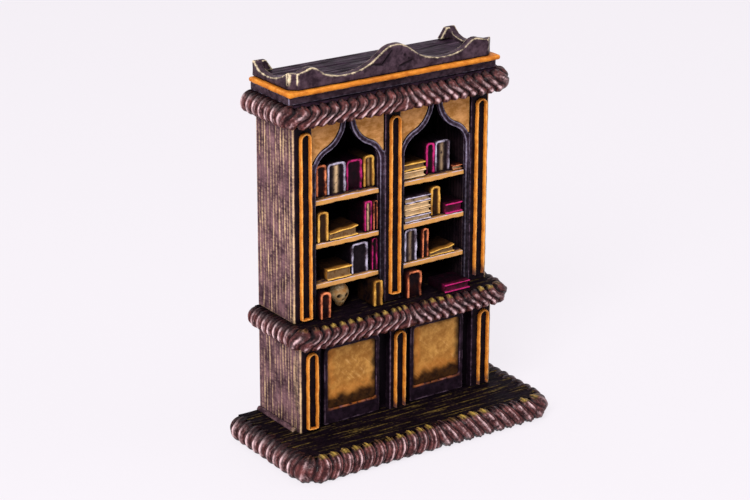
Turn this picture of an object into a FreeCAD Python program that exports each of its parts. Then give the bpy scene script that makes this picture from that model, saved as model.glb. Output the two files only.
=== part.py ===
"""A 28 mm-scale bookcase miniature, as glued pieces, in millimetres, +Z up and the front facing -Y."""
import math
import os

import FreeCAD
import Part
import Sketcher

SIZES = [
    ("back_y", 10.55, "back plane behind the middle of the base"),
    ("base_w", 41.8, "base board width, without its rope"),
    ("base_front", 8.7, "base board front edge before the middle"),
    ("base_t", 3.7, "base board thickness and its rope's diameter"),
    ("base_bend", 2.0, "corner radius of the base board"),
    ("case_w", 34.3, "width over both side walls"),
    ("lower_h", 13.7, "lower cabinet height"),
    ("lower_front", 0.65, "lower pilaster faces before the middle"),
    ("lower_post_t", 1.2, "lower pilaster thickness"),
    ("lower_post_w", 3.55, "outer lower pilaster width"),
    ("lower_side_t", 1.3, "lower side wall thickness"),
    ("face_t", 0.9, "board behind the doors"),
    ("skirt", 0.6, "skirting strip height and thickness"),
    ("middle_w", 2.7, "middle pilaster width, upper and lower"),
    ("door_in", 2.8, "inner edge of a door from the middle"),
    ("door_w", 9.7, "door frame width"),
    ("door_gap", 1.3, "door frame top below the counter"),
    ("door_t", 0.55, "door frame thickness"),
    ("door_rim", 0.6, "door frame stile and top rail width"),
    ("door_foot", 2.4, "door frame bottom rail height"),
    ("door_round", 0.8, "door frame corner radius"),
    ("door_panel_t", 0.3, "door panel thickness"),
    ("counter_t", 3.0, "counter board thickness and its rope's diameter"),
    ("counter_w", 35.5, "counter board width, without its rope"),
    ("counter_front", 2.3, "counter board front edge before the middle"),
    ("counter_bend", 1.6, "corner radius of the counter board"),
    ("upper_h", 29.8, "upper case height"),
    ("upper_front", 0.85, "upper pilaster faces behind the middle"),
    ("upper_post_t", 0.9, "upper pilaster thickness"),
    ("upper_post_w", 3.2, "outer upper pilaster width"),
    ("jamb", 0.75, "width of the arch moulding strip"),
    ("arch_set", 0.1, "arch moulding behind the pilaster faces"),
    ("panel_set", 0.3, "spandrels and shelf edges behind the pilaster faces"),
    ("head_gap", 0.36, "head of the arch below the cornice"),
    ("slot_half", 0.4, "half the width of the slot at the arch's head"),
    ("haunch_r", 3.2, "radius of the arch's lower curve"),
    ("arch_foot", 1.6, "spandrel foot above the springing"),
    ("back_t", 0.9, "back panel thickness"),
    ("rabbet", 0.6, "back panel seat in each side wall"),
    ("shelf_t", 0.85, "shelf thickness"),
    ("shelf_low", 4.75, "lowest shelf middle above the counter"),
    ("shelf_mid", 10.88, "middle shelf middle above the counter"),
    ("shelf_top", 17.45, "top shelf middle above the counter"),
    ("trim_w", 2.1, "gold trim width over both legs"),
    ("trim_leg", 0.62, "gold trim leg width"),
    ("trim_t", 0.6, "gold trim thickness"),
    ("trim_x", 15.45, "outer gold trims from the middle"),
    ("trim_up", 1.0, "upper trims' feet above the counter"),
    ("trim_up_gap", 1.2, "upper trims' tops below the cornice"),
    ("trim_lo", 0.35, "lower trims' feet above the base"),
    ("trim_lo_gap", 1.15, "lower trims' tops below the counter"),
    ("cornice_t", 3.1, "cornice board thickness and its rope's diameter"),
    ("cornice_w", 36.4, "cornice board width, without its rope"),
    ("cornice_front", 1.05, "cornice board front edge before the middle"),
    ("cornice_bend", 1.65, "corner radius of the cornice board"),
    ("frieze_h", 1.2, "frieze height"),
    ("frieze_w", 36.0, "frieze width at its waist"),
    ("frieze_front", 0.4, "frieze face behind the middle"),
    ("bead_t", 0.8, "bead thickness"),
    ("bead_w", 36.8, "bead width"),
    ("bead_front", 0.3, "bead front before the middle"),
    ("crest_w", 35.3, "crest width"),
    ("crest_front_y", 0.3, "crest face behind the middle"),
    ("crest_t", 1.2, "crest wall thickness and corner chamfer"),
    ("crest_dip", 1.25, "crest height at its dips"),
    ("crest_ear", 2.85, "crest height at its ears"),
    ("crest_end", 2.45, "crest height at its corners"),
    ("crest_peak", 4.2, "crest height at the middle"),
    ("side_dip", 0.65, "side crest height at its dip"),
    ("horn_h", 2.2, "side crest height at the back"),
    ("horn_w", 1.9, "length of the back horns' returns"),
    ("roof_t", 0.5, "roof board thickness"),
    ("base_pitch", 1.9, "base rope strand pitch"),
    ("counter_pitch", 1.5, "counter rope strand pitch"),
    ("cornice_pitch", 1.6, "cornice rope strand pitch"),
    ("groove_d", 0.5, "rope groove depth"),
    ("rope_tilt", 25, "lean of the rope strands in degrees"),
    ("ease", 0.15, "eased edges of pilasters and shelves"),
    ("door_hole_r", 0.5, "corner radius of the door openings"),
    ("skull_unit", 1.0, "one millimetre in the table of the skull"),
]

doc = FreeCAD.newDocument("bookcase")
sheet = doc.addObject("Spreadsheet::Sheet", "Sizes")
V = FreeCAD.Vector
NODES = {}


class Dim:
    """A size that carries its value in mm and the expression that gives it."""

    def __init__(self, value, text):
        self.value = float(value)
        self.text = text

    def __add__(self, other):
        other = dim(other)
        return Dim(self.value + other.value, f"({self.text} + {other.text})")

    def __sub__(self, other):
        other = dim(other)
        return Dim(self.value - other.value, f"({self.text} - {other.text})")

    def __mul__(self, other):
        other = dim(other)
        return Dim(self.value * other.value, f"({self.text} * {other.text})")

    def __truediv__(self, other):
        other = dim(other)
        return Dim(self.value / other.value, f"({self.text} / {other.text})")

    def __neg__(self):
        return Dim(-self.value, f"(0 - {self.text})")

    __radd__ = __add__

    def __rsub__(self, other):
        return dim(other) - self

    __rmul__ = __mul__


def dim(size):
    """Any number or Dim as a Dim."""
    return size if isinstance(size, Dim) else Dim(size, f"({float(size)})")


class Sizes:
    """The sheet's sizes by name."""


for row, (name, value, note) in enumerate(SIZES, start=1):
    sheet.set(f"A{row}", note)
    sheet.set(f"B{row}", str(value))
    sheet.setAlias(f"B{row}", name)
    setattr(Sizes, name, Dim(value, f"Sizes.{name}"))
doc.recompute()
S = Sizes


def bind(obj, field, size):
    """Drive one field of an object by a size."""
    obj.setExpression(field, dim(size).text)


def place(obj, x, y, z, turn=None):
    """Put an object at a point, with a fixed turn."""
    obj.Placement = FreeCAD.Placement(V(0, 0, 0), turn or FreeCAD.Rotation())
    for axis, size in zip("xyz", (x, y, z)):
        bind(obj, f"Placement.Base.{axis}", size)


def box(name, x, y, z):
    """A block between two sizes along each axis."""
    obj = doc.addObject("Part::Box", name)
    for field, (low, high) in zip(("Length", "Width", "Height"), (x, y, z)):
        bind(obj, field, dim(high) - low)
    place(obj, x[0], y[0], z[0])
    return obj


def cylinder(name, radius, length, at, turn=None):
    """A round bar from a point, along Z unless turned."""
    obj = doc.addObject("Part::Cylinder", name)
    bind(obj, "Radius", radius)
    bind(obj, "Height", length)
    place(obj, *at, turn=turn)
    return obj


def cut(name, base, tool):
    """The first object less the second."""
    obj = doc.addObject("Part::Cut", name)
    obj.Base, obj.Tool = base, tool
    return obj


def fuse(name, shapes):
    """Several objects as one."""
    obj = doc.addObject("Part::MultiFuse", name)
    obj.Shapes = shapes
    obj.Refine = True
    return obj


def common(name, base, tool):
    """What two objects share."""
    obj = doc.addObject("Part::MultiCommon", name)
    obj.Shapes = [base, tool]
    return obj


def group(name, shapes):
    """Several solids as one node."""
    obj = doc.addObject("Part::Compound", name)
    obj.Links = shapes
    return obj


def rounded(name, base, radius, wanted):
    """The object with the wanted edges rounded; wanted takes an edge's two ends."""
    doc.recompute()
    obj = doc.addObject("Part::Fillet", name)
    obj.Base = base
    picked = []
    for number, edge in enumerate(base.Shape.Edges, start=1):
        first, last = edge.Vertexes[0].Point, edge.Vertexes[-1].Point
        if wanted(first, last):
            picked.append((number, dim(radius).value, dim(radius).value))
    obj.Edges = picked
    return obj


def along(axis):
    """A test for edges that run along one axis."""
    index = "xyz".index(axis)

    def test(first, last):
        return all(abs(first[i] - last[i]) < 1e-6 for i in range(3) if i != index)

    return test


FRONT = FreeCAD.Rotation(V(1, 0, 0), 90)
SIDE = FreeCAD.Rotation(V(1, 1, 1), 120)
PLAN = FreeCAD.Rotation()


def outline(name, turn, at, loops):
    """A sketch of closed loops; each corner is (x, y) or (x, y, radius, way) for an arc to the next one."""
    sketch = doc.addObject("Sketcher::SketchObject", name)
    for loop in loops:
        count = len(loop)
        ends = []
        for i, corner in enumerate(loop):
            after = loop[(i + 1) % count]
            p = V(dim(corner[0]).value, dim(corner[1]).value, 0)
            q = V(dim(after[0]).value, dim(after[1]).value, 0)
            if len(corner) == 2:
                number = sketch.addGeometry(Part.LineSegment(p, q))
                ends.append((number, 1, 2))
                continue
            radius, way = dim(corner[2]).value, corner[3]
            half = (q - p).Length / 2
            rise = radius - math.sqrt(max(radius * radius - half * half, 0))
            across = V(-(q - p).y, (q - p).x, 0).normalize()
            number = sketch.addGeometry(Part.Arc(p, (p + q) / 2 + across * rise * way, q))
            starts = sketch.getPoint(number, 1).distanceToPoint(p) < 1e-6
            ends.append((number, 1, 2) if starts else (number, 2, 1))
        for i, corner in enumerate(loop):
            number, first, last = ends[i]
            following, begin, _ = ends[(i + 1) % count]
            sketch.addConstraint(Sketcher.Constraint("Coincident", number, last, following, begin))
            for kind, size in (("DistanceX", corner[0]), ("DistanceY", corner[1])):
                fixed = Sketcher.Constraint(kind, -1, 1, number, first, dim(size).value)
                bind(sketch, f"Constraints[{sketch.addConstraint(fixed)}]", size)
            if len(corner) > 2:
                bend = Sketcher.Constraint("Radius", number, dim(corner[2]).value)
                bind(sketch, f"Constraints[{sketch.addConstraint(bend)}]", corner[2])
    place(sketch, *at, turn=turn)
    return sketch


def prism(name, sketch, toward, depth):
    """A sketch drawn out along a direction."""
    obj = doc.addObject("Part::Extrusion", name)
    obj.Base = sketch
    obj.DirMode = "Custom"
    obj.Dir = toward
    obj.Solid = True
    obj.FaceMakerClass = "Part::FaceMakerBullseye"
    bind(obj, "LengthFwd", depth)
    return obj


BASE_TOP = S.base_t
LOWER_TOP = BASE_TOP + S.lower_h
COUNTER_TOP = LOWER_TOP + S.counter_t
UPPER_TOP = COUNTER_TOP + S.upper_h
CORNICE_TOP = UPPER_TOP + S.cornice_t
FRIEZE_TOP = CORNICE_TOP + S.frieze_h
BEAD_TOP = FRIEZE_TOP + S.bead_t
HALF = S.case_w / 2
PANEL_FRONT = S.back_y - S.back_t


def board(name, width, front, z, bend):
    """A flat board with rounded front corners, from its front edge to the back plane."""
    plain = box(f"{name}_block", (-(width / 2), width / 2), (-front, S.back_y), z)

    def wanted(first, last):
        return along("z")(first, last) and first.y < 0

    return rounded(name, plain, bend, wanted)


def polyhedron(name, rings):
    """A solid through a run of rings with the same number of corners, closed at both ends."""
    faces = [Part.Face(Part.makePolygon(ring + ring[:1])) for ring in (rings[0], rings[-1])]
    for ring, after in zip(rings, rings[1:]):
        for i in range(len(ring)):
            j = (i + 1) % len(ring)
            a, b, c, d = ring[i], ring[j], after[j], after[i]
            normal = (b - a).cross(c - a).normalize()
            flat = abs(normal.dot(d - a)) < 1e-6
            for loop in ([[a, b, c, d]] if flat else [[a, b, c], [a, c, d]]):
                faces.append(Part.Face(Part.makePolygon(loop + loop[:1])))
    shell = Part.makeShell(faces)
    shell.sewShape()
    solid = Part.makeSolid(shell)
    if solid.Volume < 0:
        solid.reverse()
    obj = doc.addObject("Part::Feature", name)
    obj.Shape = solid
    return obj


def rope(name, plate, width, front, middle, radius, bend, pitch):
    """A twisted half-round moulding along a board's front and sides, its strands mirrored at the middle."""
    radius, bend, pitch, middle = radius.value, bend.value, pitch.value, middle.value
    across, ahead = width.value / 2 - bend, bend - front.value
    arc = math.pi / 2 * bend
    total = across + arc + S.back_y.value - ahead
    tilt = math.tan(math.radians(S.rope_tilt.value))
    groove = radius - S.groove_d.value

    def spot(s, out, z):
        """The point at a distance along the board's edge from its middle, and out from that edge."""
        if s < across:
            return V(s, -front.value - out, middle + z)
        if s < across + arc:
            angle = (s - across) / bend
            reach = bend + out
            return V(across + reach * math.sin(angle), ahead - reach * math.cos(angle), middle + z)
        return V(across + bend + out, ahead + s - across - arc, middle + z)

    def ring(s, size):
        """One leaning section: seven corners on the half round and two inside the board."""
        lean = max(min(tilt, (s - 0.05) / size, (total - s) / size - 0.05), 0)
        turns = [math.radians(30 * k) for k in range(-3, 4)]
        corners = [(size * math.cos(turn), size * math.sin(turn)) for turn in turns]
        corners += [(-0.4 * bend, size), (-0.4 * bend, -size)]
        return [spot(s - lean * z, out, z) for out, z in corners]

    stations = []
    for i in range(int(total / pitch)):
        s = (i + 0.5) * pitch
        stations += [(s - 0.3 * pitch, radius), (s, groove), (s + 0.3 * pitch, radius)]
    stations = [pair for pair in stations if pair[0] < total - 0.25 * pitch] + [(total, groove)]
    right = [ring(s, size) for s, size in stations]
    left = [[V(-p.x, p.y, p.z) for p in corners] for corners in reversed(right)]
    NODES[name] = cut(name, polyhedron(f"{name}_strands", left + right), plate)


def trims(name, foot, height, face):
    """Three raised inverted-U trims, one on each pilaster."""
    legs = []
    wide, thin = S.trim_w / 2, S.trim_w / 2 - S.trim_leg
    crown = height - wide
    loop = [(-wide, 0), (-wide, crown, wide, 1), (0, crown + wide, wide, 1), (wide, crown), (wide, 0),
            (thin, 0), (thin, crown, thin, -1), (0, crown + thin, thin, -1), (-thin, crown), (-thin, 0)]
    for part, x in (("left", -S.trim_x), ("middle", dim(0)), ("right", S.trim_x)):
        sketch = outline(f"{name}_{part}_line", FRONT, (x, face - S.trim_t, foot), [loop])
        legs.append(prism(f"{name}_{part}", sketch, V(0, 1, 0), S.trim_t))
    NODES[name] = group(name, legs)


def base():
    """The floor plate and its rope."""
    NODES["base_plate"] = board("base_plate", S.base_w, S.base_front, (0, S.base_t), S.base_bend)
    half = S.base_t / 2
    plate = NODES["base_plate"]
    rope("base_rope", plate, S.base_w, S.base_front, half, half, S.base_bend, S.base_pitch)


def lower_cabinet():
    """The cupboard under the counter."""
    face = -S.lower_front
    wall_y = face + S.lower_post_t
    inner = HALF - S.lower_side_t
    z = (BASE_TOP, LOWER_TOP)
    seat = box("lower_back_seat", (-(inner + S.rabbet), inner + S.rabbet), (PANEL_FRONT, S.back_y), z)
    for side, x in (("left", (-HALF, -inner)), ("right", (inner, HALF))):
        wall = box(f"lower_{side}_wall", x, (wall_y, S.back_y), z)
        NODES[f"lower_{side}_side"] = cut(f"lower_{side}_side", wall, seat)
    NODES["lower_back_panel"] = seat
    NODES["lower_face_board"] = box("lower_face_board", (-inner, inner), (wall_y, wall_y + S.face_t), z)
    post = HALF - S.lower_post_w
    spans = {"left": (-HALF, -post), "middle": (-(S.middle_w / 2), S.middle_w / 2), "right": (post, HALF)}
    for side, x in spans.items():
        plain = box(f"lower_{side}_post", x, (face, wall_y), z)

        def front(first, last):
            return along("z")(first, last) and first.y < face.value + 1e-6

        NODES[f"lower_{side}_pilaster"] = rounded(f"lower_{side}_pilaster", plain, S.ease, front)
    trims("lower_trims", BASE_TOP + S.trim_lo, S.lower_h - S.trim_lo - S.trim_lo_gap, face)
    for side, sign in (("left", -1), ("right", 1)):
        skirting(side, sign, wall_y)
        door(side, sign, wall_y)


def skirting(side, sign, front):
    """A quarter-round strip along the foot of a side wall."""
    loop = [(0, 0), (sign * S.skirt, 0, S.skirt, -sign), (0, S.skirt)]
    sketch = outline(f"{side}_skirting_line", FRONT, (HALF * sign, front, BASE_TOP), [loop])
    NODES[f"{side}_skirting"] = prism(f"{side}_skirting", sketch, V(0, 1, 0), S.back_y - front)


def door(side, sign, back):
    """A fixed door: a round-cornered frame with a thin panel sunk in it."""
    low, high = (S.door_in, S.door_in + S.door_w) if sign > 0 else (-(S.door_in + S.door_w), -S.door_in)
    y = (back - S.door_t, back)
    head = LOWER_TOP - S.door_gap
    plain = box(f"{side}_door_block", (low, high), y, (BASE_TOP, head))

    def upper(first, last):
        return along("y")(first, last) and first.z > head.value - 1e-6

    block = rounded(f"{side}_door_round", plain, S.door_round, upper)
    x = (low + S.door_rim, high - S.door_rim)
    z = (BASE_TOP + S.door_foot, head - S.door_rim)
    gap = box(f"{side}_door_gap", x, (y[0] - 1, back + 1), z)
    hole = rounded(f"{side}_door_hole", gap, S.door_hole_r, along("y"))
    NODES[f"{side}_door_frame"] = cut(f"{side}_door_frame", block, hole)
    slab = box(f"{side}_door_slab", x, (back - S.door_panel_t, back), z)
    NODES[f"{side}_door_panel"] = rounded(f"{side}_door_panel", slab, S.door_hole_r, along("y"))


def counter():
    """The board between the two cabinets and its rope."""
    z = (LOWER_TOP, COUNTER_TOP)
    plate = board("counter_board", S.counter_w, S.counter_front, z, S.counter_bend)
    NODES["counter_board"] = plate
    half = S.counter_t / 2
    middle = LOWER_TOP + half
    rope("counter_rope", plate, S.counter_w, S.counter_front, middle, half, S.counter_bend, S.counter_pitch)


def upper_case():
    """The open case above the counter."""
    face, wall_y = S.upper_front, S.upper_front + S.upper_post_t
    inner, middle = HALF - S.upper_post_w - S.jamb, S.middle_w / 2 + S.jamb
    z = (COUNTER_TOP, UPPER_TOP)
    seat = box("upper_back_panel", (-(inner + S.rabbet), inner + S.rabbet), (PANEL_FRONT, S.back_y), z)
    for side, x in (("left", (-HALF, -inner)), ("right", (inner, HALF))):
        wall = box(f"upper_{side}_wall", x, (wall_y, S.back_y), z)
        NODES[f"upper_{side}_side"] = cut(f"upper_{side}_side", wall, seat)
    NODES["upper_back_panel"] = seat
    NODES["upper_partition"] = box("upper_partition", (-middle, middle), (wall_y, PANEL_FRONT), z)
    post = HALF - S.upper_post_w
    spans = {"left": (-HALF, -post), "middle": (-(S.middle_w / 2), S.middle_w / 2), "right": (post, HALF)}
    for side, x in spans.items():
        plain = box(f"upper_{side}_post", x, (face, wall_y), z)

        def front(first, last):
            return along("z")(first, last) and first.y < face.value + 1e-6

        NODES[f"upper_{side}_pilaster"] = rounded(f"upper_{side}_pilaster", plain, S.ease, front)
    trims("upper_trims", COUNTER_TOP + S.trim_up, S.upper_h - S.trim_up - S.trim_up_gap, face)
    for side, sign in (("left", -1), ("right", 1)):
        arch(side, (S.middle_w / 2 + post) / 2 * sign, (post - S.middle_w / 2) / 2)
        x = (middle, inner) if sign > 0 else (-inner, -middle)
        for row, level in (("low", S.shelf_low), ("mid", S.shelf_mid), ("top", S.shelf_top)):
            shelf(f"{side}_{row}_shelf", x, COUNTER_TOP + level - S.shelf_t / 2)


def shelf(name, x, z):
    """A shelf with an eased front edge."""
    front = S.upper_front + S.panel_set
    plain = box(f"{name}_board", x, (front, PANEL_FRONT), (z, z + S.shelf_t))

    def edge(first, last):
        return along("x")(first, last) and first.y < front.value + 1e-6

    NODES[name] = rounded(name, plain, S.ease, edge)


def arch(side, x, half):
    """The keel arch of one bay: a moulding strip from jamb to jamb, and the spandrels outside it."""
    wide, strip, slot, lower = half - S.jamb, S.jamb, S.slot_half, S.haunch_r
    cosine, sine = 0.3746, 0.9272
    knee_x = wide - lower * (1 - cosine)
    upper = (knee_x - slot) / (1 - cosine)
    head = S.upper_h - S.head_gap
    spring = head - (lower + upper) * sine
    knee_z = spring + lower * sine
    outer_x, outer_z = knee_x + strip * cosine, knee_z + strip * sine
    toe = spring + S.arch_foot
    toe_x = wide - lower + round(math.sqrt((lower + strip).value ** 2 - S.arch_foot.value ** 2), 4)
    gap, top = slot + strip, S.upper_h
    below, above = lower + strip, upper - strip
    left = [(-toe_x, toe, below, 1), (-outer_x, outer_z, above, -1), (-gap, head), (-gap, top)]
    right = [(gap, top), (gap, head, above, -1), (outer_x, outer_z, below, 1), (toe_x, toe)]
    inner = [(wide, 0), (wide, spring, lower, -1), (knee_x, knee_z, upper, 1), (slot, head),
             (-slot, head, upper, 1), (-knee_x, knee_z, lower, -1), (-wide, spring), (-wide, 0)]
    band = [(-half, 0), (-half, toe)] + left + right + [(half, toe), (half, 0)] + inner
    front = S.upper_front
    sketch = outline(f"{side}_arch_line", FRONT, (x, front + S.arch_set, COUNTER_TOP), [band])
    NODES[f"{side}_arch_trim"] = prism(f"{side}_arch_trim", sketch, V(0, 1, 0), S.upper_post_t - S.arch_set)
    fields = []
    loops = {"left": [(-half, toe)] + left + [(-half, top)], "right": right + [(half, toe), (half, top)]}
    for hand, loop in loops.items():
        sketch = outline(f"{side}_{hand}_spandrel_line", FRONT, (x, front + S.panel_set, COUNTER_TOP), [loop])
        fields.append(prism(f"{side}_{hand}_spandrel", sketch, V(0, 1, 0), S.upper_post_t - S.panel_set))
    NODES[f"{side}_arch_panel"] = group(f"{side}_arch_panel", fields)


def cornice():
    """The board, rope, frieze, bead and roof over the upper case."""
    z = (UPPER_TOP, CORNICE_TOP)
    plate = board("cornice_board", S.cornice_w, S.cornice_front, z, S.cornice_bend)
    NODES["cornice_board"] = plate
    half = S.cornice_t / 2
    middle = UPPER_TOP + half
    rope("cornice_rope", plate, S.cornice_w, S.cornice_front, middle, half, S.cornice_bend, S.cornice_pitch)
    x = S.frieze_w / 2
    y = (S.frieze_front, S.back_y)
    NODES["cornice_frieze"] = box("cornice_frieze", (-x, x), y, (CORNICE_TOP, FRIEZE_TOP))
    x = S.bead_w / 2
    plain = box("cornice_bead_strip", (-x, x), (-S.bead_front, S.back_y), (FRIEZE_TOP, BEAD_TOP))

    def rim(first, last):
        sides = along("y")(first, last)
        return sides or (along("x")(first, last) and first.y < 0)

    NODES["cornice_bead"] = rounded("cornice_bead", plain, S.bead_t * 0.45, rim)
    x = S.crest_w / 2 - S.crest_t
    y = (S.crest_front_y + S.crest_t, S.back_y)
    NODES["roof_board"] = box("roof_board", (-x, x), y, (BEAD_TOP, BEAD_TOP + S.roof_t))


def crest():
    """The scalloped gallery round the roof: a front wall with chamfered ends, and two sides with horns."""
    half, thick = S.crest_w / 2, S.crest_t
    front, inside = S.crest_front_y, S.crest_front_y + S.crest_t
    dip, ear, end, peak = S.crest_dip, S.crest_ear, S.crest_end, S.crest_peak
    right = [(half * 0.13, peak - 0.75),
             (half * 0.23, dip + 0.95, half * 0.555, -1), (half * 0.68, dip + 0.5),
             (half * 0.74, ear - 0.3, half * 0.108, 1),
             (half * 0.86, ear - 0.1), (half - thick, end), (half, end), (half, 0)]
    left = [(-half, 0), (-half, end), (-(half - thick), end), (half * -0.86, ear - 0.1, half * 0.108, 1),
            (half * -0.74, ear - 0.3),
            (half * -0.68, dip + 0.5, half * 0.555, -1), (half * -0.23, dip + 0.95),
            (half * -0.13, peak - 0.75, half * 0.215, 1)]
    line = outline("crest_front_line", FRONT, (0, front, BEAD_TOP), [left + right])
    wall = prism("crest_front_wall", line, V(0, 1, 0), thick)
    corner = half - thick
    plan = [(-corner, front), (corner, front), (half, inside), (-half, inside)]
    foot = outline("crest_front_plan", PLAN, (0, 0, BEAD_TOP), [plan])
    NODES["crest_front"] = common("crest_front", wall, prism("crest_front_block", foot, V(0, 0, 1), peak + 1))
    back = S.back_y
    for side, low in (("left", -half), ("right", half - thick)):
        profile = [(inside, 0), (inside, end),
                   (inside + 1.0, end - 0.55, back * 0.777, -1), (back - 1.5, S.side_dip + 0.6),
                   (back - 0.4, S.horn_h), (back, S.horn_h), (back, 0)]
        line = outline(f"crest_{side}_line", SIDE, (low, 0, BEAD_TOP), [profile])
        wall = prism(f"crest_{side}_wall", line, V(1, 0, 0), thick)
        sign = -1 if side == "left" else 1
        edge = (half - thick) * sign
        tail = S.horn_w * -sign
        horn = [(edge, S.roof_t), (edge, S.horn_h), (edge + tail * 0.35, S.horn_h), (edge + tail, S.roof_t)]
        line = outline(f"crest_{side}_horn_line", FRONT, (0, back - 0.9, BEAD_TOP), [horn])
        horn = prism(f"crest_{side}_horn", line, V(0, 1, 0), 0.9)
        NODES[f"crest_{side}"] = fuse(f"crest_{side}", [wall, horn])


def standing(name, x, width, y, z, height, unit):
    """An upright book: its spine has a raised rim round a sunk field that is open at the foot."""
    deep = unit * 4.5
    block = box(f"{name}_block", (x, x + width), (y, y + deep), (z, z + height))
    rim = unit * min(0.45, width.value / unit.value * 0.3)
    field_x = (x + rim, x + width - rim)
    field = box(f"{name}_field", field_x, (y - unit, y + unit * 0.3), (z - unit, z + height - rim))
    head = (z + height - unit * 0.2, z + height + unit)
    pages = box(f"{name}_head", field_x, (y + unit * 0.5, y + deep - unit * 0.3), head)
    return cut(name, cut(f"{name}_spine", block, field), pages)


def lying(name, x, width, y, z, height, unit):
    """A book on its side: two covers and a back, with its pages set in on the other three sides."""
    deep = unit * 4.5
    block = box(f"{name}_block", (x, x + width), (y, y + deep), (z, z + height))
    cover = unit * min(0.3, height.value / unit.value * 0.27)
    inner = (z + cover, z + height - cover)
    fore = box(f"{name}_fore", (x - unit, x + width + unit), (y - unit, y + unit * 0.3), inner)
    tail = (x + width - unit * 0.3, x + width + unit)
    end = box(f"{name}_end", tail, (y - unit, y + deep - unit * 0.3), inner)
    return cut(name, cut(f"{name}_block_fore", block, fore), end)


UPRIGHTS = {
    "left_row_1": [(-12.3, 1.9, 2.3, 4.8), (-10.35, 3.2, 2.3, 4.7), (-7.1, 2.8, 2.3, 4.6),
                   (-4.1, 1.95, 2.3, 4.75)],
    "left_row_2": [(-12.6, 1.9, 1.4, 4.6), (-4.4, 1.4, 1.6, 4.7), (-2.95, 0.8, 1.4, 4.6)],
    "left_row_3": [(-6.6, 2.95, 1.7, 4.7), (-3.2, 1.05, 1.4, 5.0)],
    "left_row_4": [(-13.1, 1.85, 0.0, 4.15), (-3.75, 1.6, 0.0, 4.1)],
    "right_row_1": [(6.8, 1.65, 2.1, 4.8), (8.5, 2.7, 2.2, 4.8)],
    "right_row_2": [(7.7, 1.8, 2.0, 4.5)],
    "right_row_3": [(2.55, 2.35, 1.4, 5.1), (5.9, 1.2, 1.5, 4.6)],
    "right_row_4": [(2.2, 2.6, 0.0, 4.15)],
}
FLATS = {
    "left_row_2": [(-10.6, 4.95, 1.3, 0, 1.6)],
    "left_row_3": [(-11.0, 4.3, 1.3, 0, 1.75)],
    "right_row_1": [(2.4, 4.25, 1.8, 0, 1.15), (2.6, 4.1, 1.9, 1.15, 1.15), (11.35, 1.8, 1.5, 0, 0.7)],
    "right_row_2": [(2.6, 4.8, 1.3, 0, 0.95), (2.75, 4.6, 1.4, 0.95, 0.95), (2.55, 4.75, 1.35, 1.9, 0.95),
                    (2.7, 4.65, 1.4, 2.85, 0.95), (9.9, 3.2, 1.3, 0, 1.6)],
    "right_row_3": [(7.2, 4.5, 1.3, 0, 1.25)],
    "right_row_4": [(8.0, 4.7, -1.4, 0, 1.35)],
}


def books():
    """Books by compartment, from left to right, fitted to the bays and the shelves, and the skull."""
    inner, middle = HALF - S.upper_post_w - S.jamb, S.middle_w / 2 + S.jamb
    share_x = (inner - middle) / 11.1
    share_y = (PANEL_FRONT - S.upper_front) / 8.8
    rows = {
        "row_4": (dim(0), S.shelf_low - S.shelf_t / 2, 4.325),
        "row_3": (S.shelf_low + S.shelf_t / 2, S.shelf_mid - S.shelf_low - S.shelf_t, 5.28),
        "row_2": (S.shelf_mid + S.shelf_t / 2, S.shelf_top - S.shelf_mid - S.shelf_t, 5.72),
        "row_1": (S.shelf_top + S.shelf_t / 2, S.upper_h - S.shelf_top - S.shelf_t / 2, 11.925),
    }

    def fitted(bay, x, y):
        """A book's corner, from the table's place in the drawn bay."""
        across = share_x * (x + 13.2) - inner if bay.startswith("left") else share_x * (x - 2.1) + middle
        return across, share_y * (y - 0.85) + S.upper_front

    for bay, table in UPRIGHTS.items():
        level, clear, drawn = rows[bay[-5:]]
        made = []
        for i, (x, w, y, h) in enumerate(table, start=1):
            left, front = fitted(bay, x, y)
            foot, height = COUNTER_TOP + level, clear * (h / drawn)
            made.append(standing(f"{bay}_book_{i}", left, share_x * w, front, foot, height, share_y))
        NODES[f"{bay}_books"] = group(f"{bay}_books", made)
    for bay, table in FLATS.items():
        level, clear, drawn = rows[bay[-5:]]
        made = []
        for i, (x, w, y, up, h) in enumerate(table, start=1):
            left, front = fitted(bay, x, y)
            foot, height = COUNTER_TOP + level + clear * (up / drawn), clear * (h / drawn)
            made.append(lying(f"{bay}_flat_{i}", left, share_x * w, front, foot, height, share_y))
        NODES[f"{bay}_lying"] = group(f"{bay}_lying", made)
    skull(*fitted("left", -7.7, 3.7))


def skull(x, y):
    """A skull on the counter: a faceted cranium over a narrower jaw, with two eye sockets."""
    unit = S.skull_unit
    levels = [(0, 0.75, 0.45), (0.3, 0.95, 0.5), (1.1, 0.95, 0.45), (1.4, 1.45, 0.0),
              (2.1, 1.7, 0.0), (2.9, 1.5, 0.0), (3.45, 1.0, 0.0), (3.75, 0.4, 0.0)]
    rings = []
    for z, size, ahead in levels:
        ring = []
        for k in range(12):
            angle = math.radians(30 * k + 15)
            out = V(size * math.cos(angle), size * math.sin(angle) - ahead, z) * unit.value
            ring.append(out + V(x.value, y.value, COUNTER_TOP.value))
        rings.append(ring)
    head = polyhedron("skull_head", rings)
    eyes = []
    for side, shift in (("left", -0.62), ("right", 0.62)):
        eye = doc.addObject("Part::Prism", f"skull_{side}_socket")
        eye.Polygon = 8
        bind(eye, "Circumradius", unit * 0.45)
        bind(eye, "Height", unit)
        place(eye, x + unit * shift, y - unit * 1.1, COUNTER_TOP + unit * 1.95, FRONT)
        eyes.append(eye)
    NODES["skull"] = cut("skull", head, fuse("skull_sockets", eyes))


base()
lower_cabinet()
counter()
upper_case()
cornice()
crest()
books()
doc.recompute()

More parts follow.
